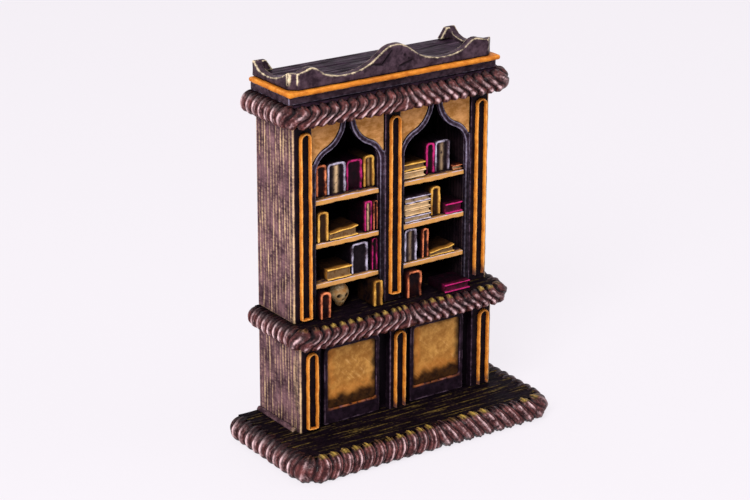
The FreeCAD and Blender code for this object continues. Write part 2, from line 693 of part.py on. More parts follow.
faults = [obj.Name for obj in doc.Objects if "Invalid" in obj.State or "Error" in obj.State]
if faults:
    raise RuntimeError(f"not built: {faults}")
os.makedirs("parts", exist_ok=True)
for name, obj in NODES.items():
    shape = obj.Shape
    if not shape.isValid() or not shape.Solids:
        raise RuntimeError(f"{name} is not a valid solid")
    shape.exportStep(f"parts/{name}.step")
print(len(NODES), "nodes")
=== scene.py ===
"""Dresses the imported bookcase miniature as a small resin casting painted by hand."""
import math

import bpy
import numpy as np
from mathutils import Matrix, Vector, noise


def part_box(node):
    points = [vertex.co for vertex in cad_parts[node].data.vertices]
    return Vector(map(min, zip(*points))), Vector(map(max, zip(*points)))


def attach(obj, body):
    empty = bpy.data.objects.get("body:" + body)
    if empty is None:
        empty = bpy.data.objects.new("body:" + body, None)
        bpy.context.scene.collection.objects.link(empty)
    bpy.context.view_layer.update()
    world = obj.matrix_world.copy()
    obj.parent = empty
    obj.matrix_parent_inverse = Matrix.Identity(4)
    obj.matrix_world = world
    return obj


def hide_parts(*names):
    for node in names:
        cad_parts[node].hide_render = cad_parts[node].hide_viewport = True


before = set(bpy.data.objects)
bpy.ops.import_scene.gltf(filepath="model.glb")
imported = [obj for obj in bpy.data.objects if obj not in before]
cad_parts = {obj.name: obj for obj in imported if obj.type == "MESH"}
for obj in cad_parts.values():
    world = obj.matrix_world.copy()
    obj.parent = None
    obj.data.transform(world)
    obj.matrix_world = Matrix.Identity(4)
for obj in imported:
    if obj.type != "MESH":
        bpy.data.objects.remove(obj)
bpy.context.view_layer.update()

bl_info = {
    "name": "Bookcase miniature",
    "version": (1, 0, 0),
    "blender": (4, 5, 0),
    "location": "View3D > Sidebar > Bookcase",
    "description": "Builds the painted pieces of a bookcase miniature round its CAD frame",
    "category": "Object",
}

MM = 0.001
X, Y, Z = range(3)
SIDES = ("left", "right")
LEVELS = ("lower", "upper")
# Radius of the front corners of each board that has a rope, in millimetres.
BENDS = {"base_plate": 2.0, "counter_board": 1.6, "cornice_board": 1.65}
# Carved grain: waves per millimetre along it and across it, and the levels its noise is cut off at.
GRAIN_ALONG, GRAIN_ACROSS = 0.16, 1.5
GRAIN_FLOOR, GRAIN_TOP = -0.9, 0.35


def srgb(red, green, blue):
    """A colour as a screen shows it, from 0 to 255, in linear values."""
    def linear(part):
        part /= 255
        return part / 12.92 if part <= 0.04045 else ((part + 0.055) / 1.055) ** 2.4

    return linear(red), linear(green), linear(blue)


def colour(label, about, *parts):
    """A colour setting."""
    return bpy.props.FloatVectorProperty(
        name=label, description=about, subtype="COLOR", size=3, min=0, max=1, default=srgb(*parts))


def length(label, about, millimetres):
    """A length setting, given in millimetres."""
    return bpy.props.FloatProperty(
        name=label, description=about, subtype="DISTANCE", unit="LENGTH", min=0, precision=5,
        default=millimetres * MM)


class BookcasePaints(bpy.types.PropertyGroup):
    """The paints of the miniature."""

    # Near black for the dark washes, for painted shade in the recesses and inside the case, and for
    # the base's deepest tone.
    wash_and_shade_black: colour("Soot", "Wash that sits in every recess", 8, 4, 8)
    plum: colour("Plum", "Carcass and arch mouldings", 50, 34, 48)
    plum_deep: colour("Deep plum", "Carcass and arch mouldings in shade, and the base", 20, 11, 19)
    plum_edge: colour("Plum edge", "Dry-brushed carcass edges", 118, 94, 112)
    side: colour("Side purple", "Grained sides", 126, 92, 97)
    side_deep: colour("Deep side purple", "Grooves of the grained sides", 54, 34, 42)
    crest: colour("Crest grey", "Crest, frieze and grey books", 76, 58, 68)
    crest_deep: colour("Deep crest grey", "Crest, frieze and grey books in shade", 36, 24, 32)
    bone_edge: colour("Bone edge", "Cream dry-brush on the sides and the skirting", 220, 184, 140)
    rope_brown: colour("Rope brown", "Rope strands", 114, 62, 60)
    rope_deep: colour("Deep rope brown", "Rope strands and dark books in shade", 44, 18, 20)
    rope_silver: colour("Rope silver", "Highlights along the strands", 226, 190, 192)
    olive: colour("Olive", "Dry-brush on the base, the counter and the ropes", 168, 138, 66)
    gold: colour("Gold", "Trims and bead", 216, 134, 46)
    gold_deep: colour("Deep gold", "Trims and bead in shade, and lines on the doors", 176, 98, 32)
    gold_light: colour("Light gold", "Worn crests of the trims and bead", 230, 166, 90)
    tan: colour("Tan", "Door panels", 190, 138, 70)
    tan_deep: colour("Deep tan", "Dark brush marks in the tan", 148, 98, 44)
    tan_light: colour("Light tan", "Pale brush marks in the tan", 218, 168, 104)
    sand: colour("Sand", "Shelf edges and spandrels", 194, 140, 86)
    lavender: colour("Lavender", "Edges of the mouldings, frieze and skirting", 150, 140, 164)
    lavender_light: colour("Light lavender", "Edges of the shelves and grey books", 190, 182, 204)
    cream: colour("Cream", "Pages and pale books", 226, 190, 144)
    magenta: colour("Magenta", "Dark red books", 92, 8, 50)
    magenta_light: colour("Light magenta", "Edges of the dark red books", 190, 40, 110)
    rust: colour("Rust", "Orange books", 112, 48, 28)
    rust_light: colour("Light rust", "Edges of the orange books", 236, 138, 92)
    ochre: colour("Ochre", "Gold books", 136, 88, 28)
    ochre_light: colour("Light ochre", "Edges of the gold books", 232, 178, 84)
    bone: colour("Bone", "Skull", 156, 134, 100)
    bone_light: colour("Light bone", "Raised bone and the crest's edges", 228, 208, 172)
    paper: colour("Paper", "Floor and backdrop", 250, 245, 251)


class BookcaseSizes(bpy.types.PropertyGroup):
    """Small sizes that the casting adds to the CAD solids."""

    groove: length("Rope groove", "Depth of the grooves between the strands", 0.65)
    grain: length("Grain", "Depth of the carved grain", 0.16)
    wobble: length("Wobble", "How uneven the hand-cut surfaces are", 0.05)
    voxel: length("Cell", "Cell of the softened castings", 0.13)
    easing: length("Easing", "Softened edges of straight pieces", 0.16)


def paints():
    """The paint settings in use."""
    return bpy.context.scene.bookcase_paints


def sizes():
    """The size settings in use, in millimetres."""
    settings = bpy.context.scene.bookcase_sizes
    return {key: getattr(settings, key) / MM for key in BookcaseSizes.__annotations__}


def node_box(name):
    """A CAD node's lowest and highest corners in millimetres."""
    low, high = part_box(name)
    return np.array(low) / MM, np.array(high) / MM


def ripple(points, scale, shift=0.0):
    """Smooth noise from -1 to 1 at each point; scale is cycles per millimetre along each axis."""
    places = np.asarray(points) * np.asarray(scale) + shift
    return np.array([noise.noise(Vector(p)) for p in places])


def smooth(low, high, x):
    """A soft step from 0 at low to 1 at high."""
    t = np.clip((x - low) / (high - low), 0, 1)
    return t * t * (3 - 2 * t)


def uneven(points, out, depth, scale, seed, sunk=0.0):
    """Points moved in and out by smooth noise, and sunk by a share of its depth."""
    return points + out * (depth * (ripple(points, scale, seed) - sunk))[:, None]


def make_mesh(name, points, faces, **marks):
    """A smooth-shaded mesh from millimetres, with its paint marks as float attributes."""
    mesh = bpy.data.meshes.new(name)
    mesh.from_pydata((np.asarray(points) * MM).tolist(), [], faces)
    for key, values in marks.items():
        layer = mesh.attributes.new(key, "FLOAT", "POINT")
        layer.data.foreach_set("value", np.asarray(values, np.float32))
    mesh.polygons.foreach_set("use_smooth", np.ones(len(mesh.polygons), bool))
    mesh.update()
    return mesh


def add_piece(name, mesh, material, node):
    """Puts a mesh in the scene as a piece that stands for its CAD node."""
    piece = bpy.data.objects.new(name, mesh)
    bpy.context.scene.collection.objects.link(piece)
    mesh.materials.append(material)
    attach(piece, "root")
    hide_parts(node)
    return piece


def grid_faces(rows, columns, start=0, wrap=False):
    """Quads over a grid of points stored row by row."""
    faces = []
    for i in range(rows - 1):
        for j in range(columns if wrap else columns - 1):
            k = (j + 1) % columns
            a, b = start + i * columns, start + (i + 1) * columns
            faces.append((a + j, a + k, b + k, b + j))
    return faces


def ticks(low, high, radius, count):
    """Grid positions along one edge of a block, closer together over its rounded ends."""
    lead = radius * np.array([0, 0.25, 0.6])
    straight = np.linspace(low + radius, high - radius, count + 1)
    return np.concatenate([low + lead, straight, high - lead[::-1]])


def block(low, high, radius, counts, edge_width):
    """Points, faces, outward directions and edge marks of a gridded block with eased edges."""
    radius = min(radius, 0.45 * (high - low).min())
    lines = [ticks(low[i], high[i], radius, counts[i]) for i in range(3)]
    points, faces = [], []
    for axis in range(3):
        u, v = [i for i in range(3) if i != axis]
        for value, outward in ((low[axis], -1), (high[axis], 1)):
            a, b = np.meshgrid(lines[u], lines[v], indexing="ij")
            side = np.empty(a.shape + (3,))
            side[..., u], side[..., v], side[..., axis] = a, b, value
            quads = grid_faces(len(lines[u]), len(lines[v]), sum(map(len, points)))
            forward = (outward > 0) == (axis != Y)
            faces += [q[::-1] for q in quads] if forward else quads
            points.append(side.reshape(-1, 3))
    points = np.concatenate(points)
    _, first, same = np.unique(np.round(points, 6), axis=0, return_index=True, return_inverse=True)
    same = same.reshape(-1)
    points = points[first]
    faces = [tuple(int(same[i]) for i in quad) for quad in faces]
    gaps = np.sort(np.minimum(points - low, high - points), axis=1)
    edge = np.clip(1 - gaps[:, 1] / edge_width, 0, 1)
    core = np.clip(points, low + radius, high - radius)
    out = points - core
    out /= np.linalg.norm(out, axis=1, keepdims=True)
    return core + out * radius, faces, out, edge


def softened(node, cell, passes, wobble, seed):
    """A CAD node's own mesh as a softened casting.

    Gives its points, faces and outward directions, and marks on its edges and in its hollows."""
    scratch = bpy.data.objects.new("scratch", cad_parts[node].data.copy())
    bpy.context.scene.collection.objects.link(scratch)
    remesh = scratch.modifiers.new("cells", "REMESH")
    remesh.mode = "VOXEL"
    remesh.voxel_size = cell * MM
    made = scratch.evaluated_get(bpy.context.evaluated_depsgraph_get()).to_mesh()
    count = len(made.vertices)
    points = np.empty(count * 3)
    made.vertices.foreach_get("co", points)
    points = points.reshape(-1, 3) / MM
    links = np.empty(len(made.edges) * 2, int)
    made.edges.foreach_get("vertices", links)
    links = links.reshape(-1, 2)
    faces = [tuple(p.vertices) for p in made.polygons]
    bpy.data.objects.remove(scratch)

    degree = np.bincount(links.reshape(-1), minlength=count)[:, None]

    def relax(values):
        total = np.zeros_like(values)
        np.add.at(total, links[:, 0], values[links[:, 1]])
        np.add.at(total, links[:, 1], values[links[:, 0]])
        return total / np.maximum(degree, 1)

    # Each pass smooths and then swells back, so that thin parts keep their size.
    for _ in range(passes):
        points = points + 0.5 * (relax(points) - points)
        points = points - 0.52 * (relax(points) - points) * 0.7
    broad = points
    for _ in range(5):
        broad = relax(broad)
    mesh = make_mesh("scratch", points, faces)
    out = np.empty(count * 3)
    mesh.vertices.foreach_get("normal", out)
    out = out.reshape(-1, 3)
    bpy.data.meshes.remove(mesh)
    bend = 1.6 * ((points - broad) * out).sum(1) / cell
    points = uneven(points, out, wobble, (0.9, 0.9, 0.9), seed)
    return points, faces, out, np.clip(bend, 0, 1), np.clip(-bend, 0, 1)


class Nodes:
    """A short way to wire up a material."""

    def __init__(self, name):
        self.material = bpy.data.materials.new(name)
        self.material.use_nodes = True
        self.tree = self.material.node_tree
        self.shader = self.tree.nodes["Principled BSDF"]
        self.shader.inputs["IOR"].default_value = 1.5
        where = self.add("ShaderNodeTexCoord").outputs["Object"]
        self.place = self.vector("SCALE", where, scale=1 / MM)

    def add(self, kind, **settings):
        """A node with its settings."""
        made = self.tree.nodes.new(kind)
        for key, value in settings.items():
            setattr(made, key, value)
        return made

    def feed(self, socket, value):
        """Links an output, or sets a number or colour."""
        if isinstance(value, bpy.types.NodeSocket):
            self.tree.links.new(value, socket)
        elif hasattr(socket.default_value, "__len__") and len(socket.default_value) == 4:
            socket.default_value = (*tuple(value)[:3], 1)
        else:
            socket.default_value = value

    def vector(self, operation, a, b=None, scale=None):
        """Vector arithmetic."""
        made = self.add("ShaderNodeVectorMath", operation=operation)
        self.feed(made.inputs[0], a)
        if b is not None:
            self.feed(made.inputs[1], b)
        if scale is not None:
            made.inputs["Scale"].default_value = scale
        return made.outputs[0]

    def math(self, operation, a, b=0.0):
        """Number arithmetic."""
        made = self.add("ShaderNodeMath", operation=operation)
        self.feed(made.inputs[0], a)
        self.feed(made.inputs[1], b)
        return made.outputs[0]

    def step(self, value, low, high, to_low=0.0, to_high=1.0):
        """A soft step from to_low to to_high."""
        made = self.add("ShaderNodeMapRange", interpolation_type="SMOOTHSTEP")
        limits = {"From Min": low, "From Max": high, "To Min": to_low, "To Max": to_high}
        for key, number in limits.items():
            made.inputs[key].default_value = number
        self.feed(made.inputs["Value"], value)
        return made.outputs["Result"]

    def noise(self, stretch, detail, rough=0.55, shift=0.0):
        """Noise in cycles per millimetre along each axis."""
        made = self.add("ShaderNodeTexNoise")
        made.inputs["Scale"].default_value = 1
        made.inputs["Detail"].default_value = detail
        made.inputs["Roughness"].default_value = rough
        moved = self.vector("MULTIPLY_ADD", self.place, stretch)
        moved.node.inputs[2].default_value = (shift, shift * 1.7, shift * 0.6)
        self.feed(made.inputs["Vector"], moved)
        return made.outputs["Fac"]

    def mark(self, name):
        """One of the mesh's paint marks."""
        return self.add("ShaderNodeAttribute", attribute_name=name).outputs["Fac"]

    def mix(self, share, a, b):
        """One colour over another."""
        made = self.add("ShaderNodeMix", data_type="RGBA")
        self.feed(made.inputs["Factor"], share)
        self.feed(made.inputs["A"], a)
        self.feed(made.inputs["B"], b)
        return made.outputs["Result"]


def painted(name, base, deep, light, stretch, dry, reach=0.35, accent=None, rough=0.46,
            relief=0.25, blotch=0.7, hollow=1.1, dash=None, sheen=0.05):
    """Brushed paint: a mottled base, dry-brushed edges, an accent, dark washes from the marks that
    are partly painted shade, painted shade in the recesses, and brush relief.

    Dry is how much of the light paint the edge marks take, reach how softly it ends, hollow the
    width in millimetres of the recesses that are painted dark as shade, and dash the noise that
    breaks up the strokes."""
    n = Nodes(name)
    wash_and_shade_black = tuple(paints().wash_and_shade_black)
    patches = n.noise((blotch, blotch, blotch), 4.0, shift=3.1)
    strokes = n.noise(stretch, 4.0, 0.62)
    if dash:
        broken = n.math("MULTIPLY", n.noise(dash, 2.0, shift=5.3), 0.55)
        strokes = n.math("ADD", n.math("MULTIPLY", strokes, 0.45), broken)
    speck = n.noise((6.5, 6.5, 6.5), 2.0, shift=7.7)
    shade = n.math("ADD", n.math("MULTIPLY", patches, 0.6), n.math("MULTIPLY", strokes, 0.5))
    tone = n.mix(n.step(shade, 0.4, 0.72), deep, base)
    # Light paint on the marked edges: dry-brush, and on the ropes partly a painted highlight.
    light_coat = n.math("MULTIPLY_ADD", n.mark("edge"), dry)
    n.feed(light_coat.node.inputs[2], n.math("MULTIPLY", strokes, 0.9))
    light_coat = n.math("ADD", light_coat, n.math("MULTIPLY", speck, 0.25))
    tone = n.mix(n.step(light_coat, 0.95 - reach * 0.5, 0.95 + reach), tone, light)
    if accent is not None:
        spots = n.math("MULTIPLY", n.mark("tip"), n.step(strokes, 0.3, 0.5))
        tone = n.mix(spots, tone, accent)
    # The mesh's dark mark: washes in grooves and hollows, and painted shade inside the case and
    # behind the books.
    thin = n.step(n.math("ADD", patches, strokes), 0.8, 1.1, 1.0, 0.96)
    tone = n.mix(n.math("MULTIPLY", n.mark("wash"), thin), tone, wash_and_shade_black)
    # Painted shade: near black mixed into the recesses and the gaps between pieces as far as
    # ambient occlusion finds them, standing also for the washes that settle there.
    shelter = n.add("ShaderNodeAmbientOcclusion", samples=6)
    shelter.inputs["Distance"].default_value = hollow * MM
    tone = n.mix(n.step(shelter.outputs["AO"], 0.25, 0.8, 0.85, 0.0), tone, wash_and_shade_black)
    n.feed(n.shader.inputs["Base Color"], tone)
    n.shader.inputs["Specular IOR Level"].default_value = sheen
    n.feed(n.shader.inputs["Roughness"], n.step(strokes, 0.25, 0.75, rough + 0.12, rough - 0.1))
    bump = n.add("ShaderNodeBump")
    bump.inputs["Strength"].default_value = relief
    bump.inputs["Distance"].default_value = 0.12 * MM
    n.feed(bump.inputs["Height"], n.math("ADD", strokes, n.math("MULTIPLY", speck, 0.4)))
    n.feed(n.shader.inputs["Normal"], bump.outputs["Normal"])
    return n.material


def held(name, maker):
    """A material made once and shared."""
    return bpy.data.materials.get(name) or maker()


def carcass_paint(name="carcass_plum", stretch=(1.6, 1.6, 1.6), dry=0.55, **extra):
    """Dark plum with purple edges."""
    p = paints()
    return held(name, lambda: painted(
        name, p.plum, p.plum_deep, p.plum_edge, stretch, dry, **extra))


# Grid rows to a strand, and the columns and angles round the rope, in degrees up from straight out.
STRAND_STEPS, ROPE_COLUMNS, ROPE_SWEEP = 16, 31, (-90, 118)
# How far the rope's lower rim is sunk into the board, and the slope of the strands on the sides.
ROPE_SINK, SIDE_LEAN = 0.25, 0.08


class RopeMaker:
    """One rope round the edge of a board: its path and its strands."""

    def __init__(self, board, rope, pitch, *leans):
        low, high = node_box(board)
        self.front, self.back = -low[Y], high[Y]
        self.middle, self.radius = (low[Z] + high[Z]) / 2, node_box(rope)[1][X] - high[X]
        self.bend, self.pitch = BENDS[board], pitch
        self.leans = [math.tan(math.radians(lean)) for lean in leans]
        self.across, self.arc = high[X] - self.bend, math.pi / 2 * self.bend
        self.total = self.across + self.arc + self.back + self.front - self.bend

    def spot(self, s, out, z):
        """Points at s along the edge from its middle, negative to the left, out from it and up."""
        run, sign = np.abs(s), np.where(s < 0, -1.0, 1.0)
        turn = np.clip((run - self.across) / self.bend, 0, math.pi / 2)
        x = np.minimum(run, self.across) + (self.bend + out) * np.sin(turn)
        y = self.bend - self.front - (self.bend + out) * np.cos(turn)
        y = y + np.maximum(run - self.across - self.arc, 0)
        return np.stack([sign * x, y, self.middle + z], axis=-1)

    def build(self, name, groove, wave, gilt, seed):
        """The rope's mesh, with marks on its strands' crests, tips and grooves."""
        # Points along the rope and round it, from below the board's edge to just over its top.
        steps = STRAND_STEPS * self.total / self.pitch
        s = np.linspace(-self.total, self.total, 2 * int(steps) + 1)[:, None]
        angle = np.radians(np.linspace(*ROPE_SWEEP, ROPE_COLUMNS))[None, :]
        run, rise = np.abs(s), np.sin(angle)
        side = smooth(self.across - 1.0, self.across + self.arc + 1.0, run)
        front = 1 - side

        # Which strand each point is on, where across it, and how far it stands out there.
        lean = np.where(s < 0, *self.leans) * front + SIDE_LEAN * side
        slant = lean * self.radius * (0.85 * rise + 0.15 * angle) + wave * front * np.sin(3 * angle)
        near = smooth(0.0, 1.2 * self.pitch, run)
        place = (run + slant * near) / self.pitch + 0.5
        within = (place % 1.0) * 2 - 1
        number = np.floor(place) * np.where(s < 0, -1, 1)
        bulge = np.sqrt(np.clip(1 - (within * 0.985) ** 2, 0, 1))

        # The rope's thickness: strands of uneven size with fibres, lumps, curls and a rough skin.
        end = smooth(0, 0.45, self.total - run)
        size = self.radius + 0.1 + 0.06 * np.sin(number * 12.9898 + seed)
        size = (size - groove * (1 - bulge)) * (0.8 + 0.2 * end ** 0.5)
        plait = smooth(0.1, 0.25, wave) * front
        fibre = np.cos(within * 3 * np.pi + 0.5 * np.sin(number * 4.1))
        fibre = fibre * bulge * (1 - 0.55 * plait)
        lump = np.sin(4.5 * angle + 0.6 * np.sin(number * 2.3)) * front
        curl = np.sin(9 * angle + 2.0 * np.sin(number * 3.1))
        spots = np.broadcast_arrays(s * 1.5, angle * 1.9, np.full_like(s, seed * 7.0))
        skin = ripple(np.stack(spots, axis=-1).reshape(-1, 3), (1, 1, 1)).reshape(size.shape)
        size = size + 0.07 * fibre + wave * 0.45 * lump * bulge + 0.05 * plait * curl * bulge
        size = size + 0.09 * (skin - 0.2) * end
        out, z = size * np.cos(angle), np.maximum(size * rise, -self.radius)
        out[:, 0] = -ROPE_SINK
        points = self.spot(np.broadcast_to(s, out.shape), out, z).reshape(-1, 3)
        points[:, Y] = np.minimum(points[:, Y], self.back)
        faces = grid_faces(*out.shape)
        rim = list(range(out.shape[1]))
        faces += [tuple(rim[::-1]), tuple(len(points) - out.shape[1] + i for i in rim)]

        # Silver dry-brush along the strands, set off their middles and brighter on the rope's
        # sides, so partly a painted highlight; duller where the rope turns the corner.
        line = np.exp(-((within + 0.15) / (0.34 + 0.1 * plait)) ** 2)
        line = line * smooth(-1.0, -0.2 - 0.45 * plait, rise)
        line = line * smooth(1.02, 0.7 - 0.5 * plait, rise)
        line = line * (1 + plait * (0.55 + 0.5 * curl))
        turning = smooth(self.across - 0.5, self.across + 0.5, run)
        turning = turning * smooth(self.across + self.arc + 1.2, self.across + self.arc - 0.2, run)
        crest = line * (1 - 0.4 * turning) * (0.64 + 0.3 * side)
        crest = crest * (0.85 + 0.15 * np.sin(number * 7.7)) + 0.35 * np.clip(fibre, 0, 1)
        crest = crest * np.clip(0.95 + 0.9 * skin, 0.3, 1.4)

        # Gilt on the tops of some strands; dark washes between them, partly painted shade and
        # stronger higher up; painted shade along the top, where the rope meets the board, and over
        # the upper parts of the strands on the rope's sides.
        tip = smooth(0.9, 0.99, rise) * smooth(0.7, 0.95, bulge) * front
        tip = tip * gilt * smooth(-0.5, 0.4, np.sin(number * 5.3) + 0.4 - 0.35 * np.sign(s))
        between = 1 - smooth(0.35 + 0.15 * plait, 0.85 + 0.1 * plait, bulge)
        deep = np.maximum(between, 0.7 * smooth(0.1, -0.7, fibre - 3 * wave * lump))
        deep = deep * (0.8 + 0.2 * smooth(-0.3, 0.8, rise))
        deep = deep + 0.6 * smooth(0.88, 1.0, rise) * (1 - tip)
        deep = np.maximum(deep, 0.85 * side * smooth(0.25, 0.85, rise + 0.15 * within))
        marks = {"edge": crest, "tip": tip, "wash": np.clip(deep, 0, 1)}
        marks = {key: np.broadcast_to(mark, out.shape).reshape(-1) for key, mark in marks.items()}
        return make_mesh(name, points, faces, **marks)


class BOOKCASE_OT_ropes(bpy.types.Operator):
    """Twisted rope mouldings round the base, the counter and the cornice"""

    bl_idname = "bookcase.ropes"
    bl_label = "Ropes"

    def execute(self, context):
        p = paints()
        coat = painted("rope_brown", p.rope_brown, p.rope_deep, p.rope_silver, (2.8, 2.8, 2.2),
                       dry=0.7, reach=0.55, accent=p.olive, rough=0.3, relief=0.5, hollow=1.0,
                       sheen=0.1)
        # Board, rope, spacing of the strands, their wave, gilt on their tops, and their lean in
        # degrees to the left and right of the middle.
        rows = (("base_plate", "base_rope", 1.9, 0.05, 1.0, 12, 36),
                ("counter_board", "counter_rope", 1.5, 0.26, 0.9, 38, 38),
                ("cornice_board", "cornice_rope", 1.6, 0.26, 0.0, 38, 38))
        for seed, (board, rope, pitch, wave, gilt, *leans) in enumerate(rows):
            maker = RopeMaker(board, rope, pitch, *leans)
            mesh = maker.build(f"{rope}_strands", sizes()["groove"], wave, gilt, seed)
            add_piece(f"{rope}_strands", mesh, coat, rope)
        return {"FINISHED"}


def carved(lines):
    """The lift of a grained surface in millimetres, 0 on its ridges and below 0 in its grooves."""
    return sizes()["grain"] * (np.clip(lines, GRAIN_FLOOR, GRAIN_TOP) - GRAIN_TOP)


def grooves(lines):
    """Where the noise of a grain cuts deep, from 0 to 1."""
    return np.clip(-lines * 1.2 - 0.2, 0, 1)


def grained(name, node, face_axis, grain_axis, counts, material, seed, inner=0, even=0.0):
    """A board with grain along one axis, its ridges marked for dry-brushing.

    Inner is the direction of a face inside the case that is painted dark as shade, and even the
    number of regular ridges in a millimetre."""
    low, high = node_box(node)
    points, faces, out, edge = block(low, high, sizes()["easing"], counts, 0.35)
    cross_axis = X + Y + Z - face_axis - grain_axis
    waves = np.full(3, GRAIN_ALONG)
    waves[cross_axis], waves[face_axis] = GRAIN_ACROSS, 0.0
    lines = ripple(points, waves, seed) + 0.5 * ripple(points, waves * 2.1, seed + 9)
    if even:
        drift = 2.2 * ripple(points, (0.4, 0.4, 0.12), seed + 4)
        ridges = np.sin(2 * np.pi * even * points[:, cross_axis] + drift)
        lines = 0.55 * lines + 0.42 * ridges
    points = points + out * (carved(lines) * (1 - edge))[:, None]
    ridge = np.clip(0.2 + lines, 0, 1) * (0.2 + 0.55 * np.abs(out[:, face_axis]))
    mark = np.maximum(edge ** 1.5 * 0.7, ridge)
    darkening = grooves(lines) * 0.4
    # Painted shade over the face turned into the case, with its dry-brush taken away.
    if inner:
        inner_shade = smooth(0.2, 0.7, out[:, face_axis] * inner)
        mark, darkening = mark * (1 - inner_shade), np.maximum(darkening, inner_shade)
    mesh = make_mesh(name, points, faces, edge=mark, wash=darkening)
    return add_piece(name, mesh, material, node)


def rough_block(name, node, counts, material, seed, radius=None, edge_width=0.3, darkening=0.0):
    """A straight piece with eased, slightly uneven edges, darkened away from them."""
    size = sizes()
    low, high = node_box(node)
    points, faces, out, edge = block(low, high, radius or size["easing"], counts, edge_width)
    points = uneven(points, out, size["wobble"], (0.8, 0.8, 0.8), seed, sunk=0.4)
    mesh = make_mesh(name, points, faces, edge=edge, wash=darkening * (1 - edge))
    return add_piece(name, mesh, material, node)


class BOOKCASE_OT_boards(bpy.types.Operator):
    """Base plate, counter and cornice boards and the roof"""

    bl_idname = "bookcase.boards"
    bl_label = "Boards"

    def execute(self, context):
        p = paints()
        olive = painted("base_olive", p.plum_deep, p.wash_and_shade_black, p.olive, (0.12, 2.6, 1.0), dry=0.52,
                        reach=0.55, rough=0.6, sheen=0.02, dash=(2.0, 2.8, 1.0))
        # Board, paint, slot and how much of the light paint its ridges take.
        for node, coat, slot, wear in (("base_plate", olive, "base_top", 0.8),
                                       ("counter_board", olive, "carcass", 0.45),
                                       ("cornice_board", carcass_paint(), "carcass", 0.45)):
            self.plate(node, coat, slot, wear)
        grained("roof_planks", "roof_board", Z, X, (40, 80, 3),
                carcass_paint("roof_plum", (0.25, 2.0, 1.0)), 5.0)
        return {"FINISHED"}

    def plate(self, node, coat, slot, wear):
        """A board with round front corners and grain along its width."""
        low, high = node_box(node)
        bend = BENDS[node]
        rows, columns = 110, 81
        y = np.linspace(low[Y], high[Y], rows)[:, None]
        drop = np.clip(low[Y] + bend - y, 0, bend)
        reach = high[X] - bend + np.sqrt(np.clip(bend ** 2 - drop ** 2, 0, None))
        x = reach * np.linspace(-1, 1, columns)[None, :]
        sheets, grains = [], []
        for z, lift in ((high[Z], 1), (low[Z], -1)):
            sheet = np.stack(np.broadcast_arrays(x, y, z), axis=-1).reshape(-1, 3)
            grain = ripple(sheet, (0.16, 2.6, 0), 2.0) + 0.5 * ripple(sheet, (0.3, 6.0, 0), 11.0)
            sheet[:, Z] += lift * carved(grain)
            sheets.append(sheet)
            grains.append(grain)
        points, lines = np.concatenate(sheets), np.concatenate(grains)
        size = rows * columns
        faces = [q[::-1] for q in grid_faces(rows, columns)] + grid_faces(rows, columns, size)
        rim = list(range(columns)) + [i * columns + columns - 1 for i in range(1, rows)]
        rim += [size - 1 - j for j in range(1, columns)]
        rim += [(rows - 1 - i) * columns for i in range(1, rows - 1)]
        for a, b in zip(rim, rim[1:] + rim[:1]):
            faces.append((a, b, b + size, a + size)[::-1])
        rear = smooth(high[Y] - 0.3, high[Y] - 0.1, points[:, Y])
        mark = np.clip(0.15 + lines * 1.2, 0, 1) * wear * (1 - rear)
        darkening = np.maximum(grooves(lines) * 0.8, 0.85 * rear)
        mesh = make_mesh(f"{node}_grain", points, faces, edge=mark, wash=darkening)
        add_piece(f"{node}_grain", mesh, coat, node)


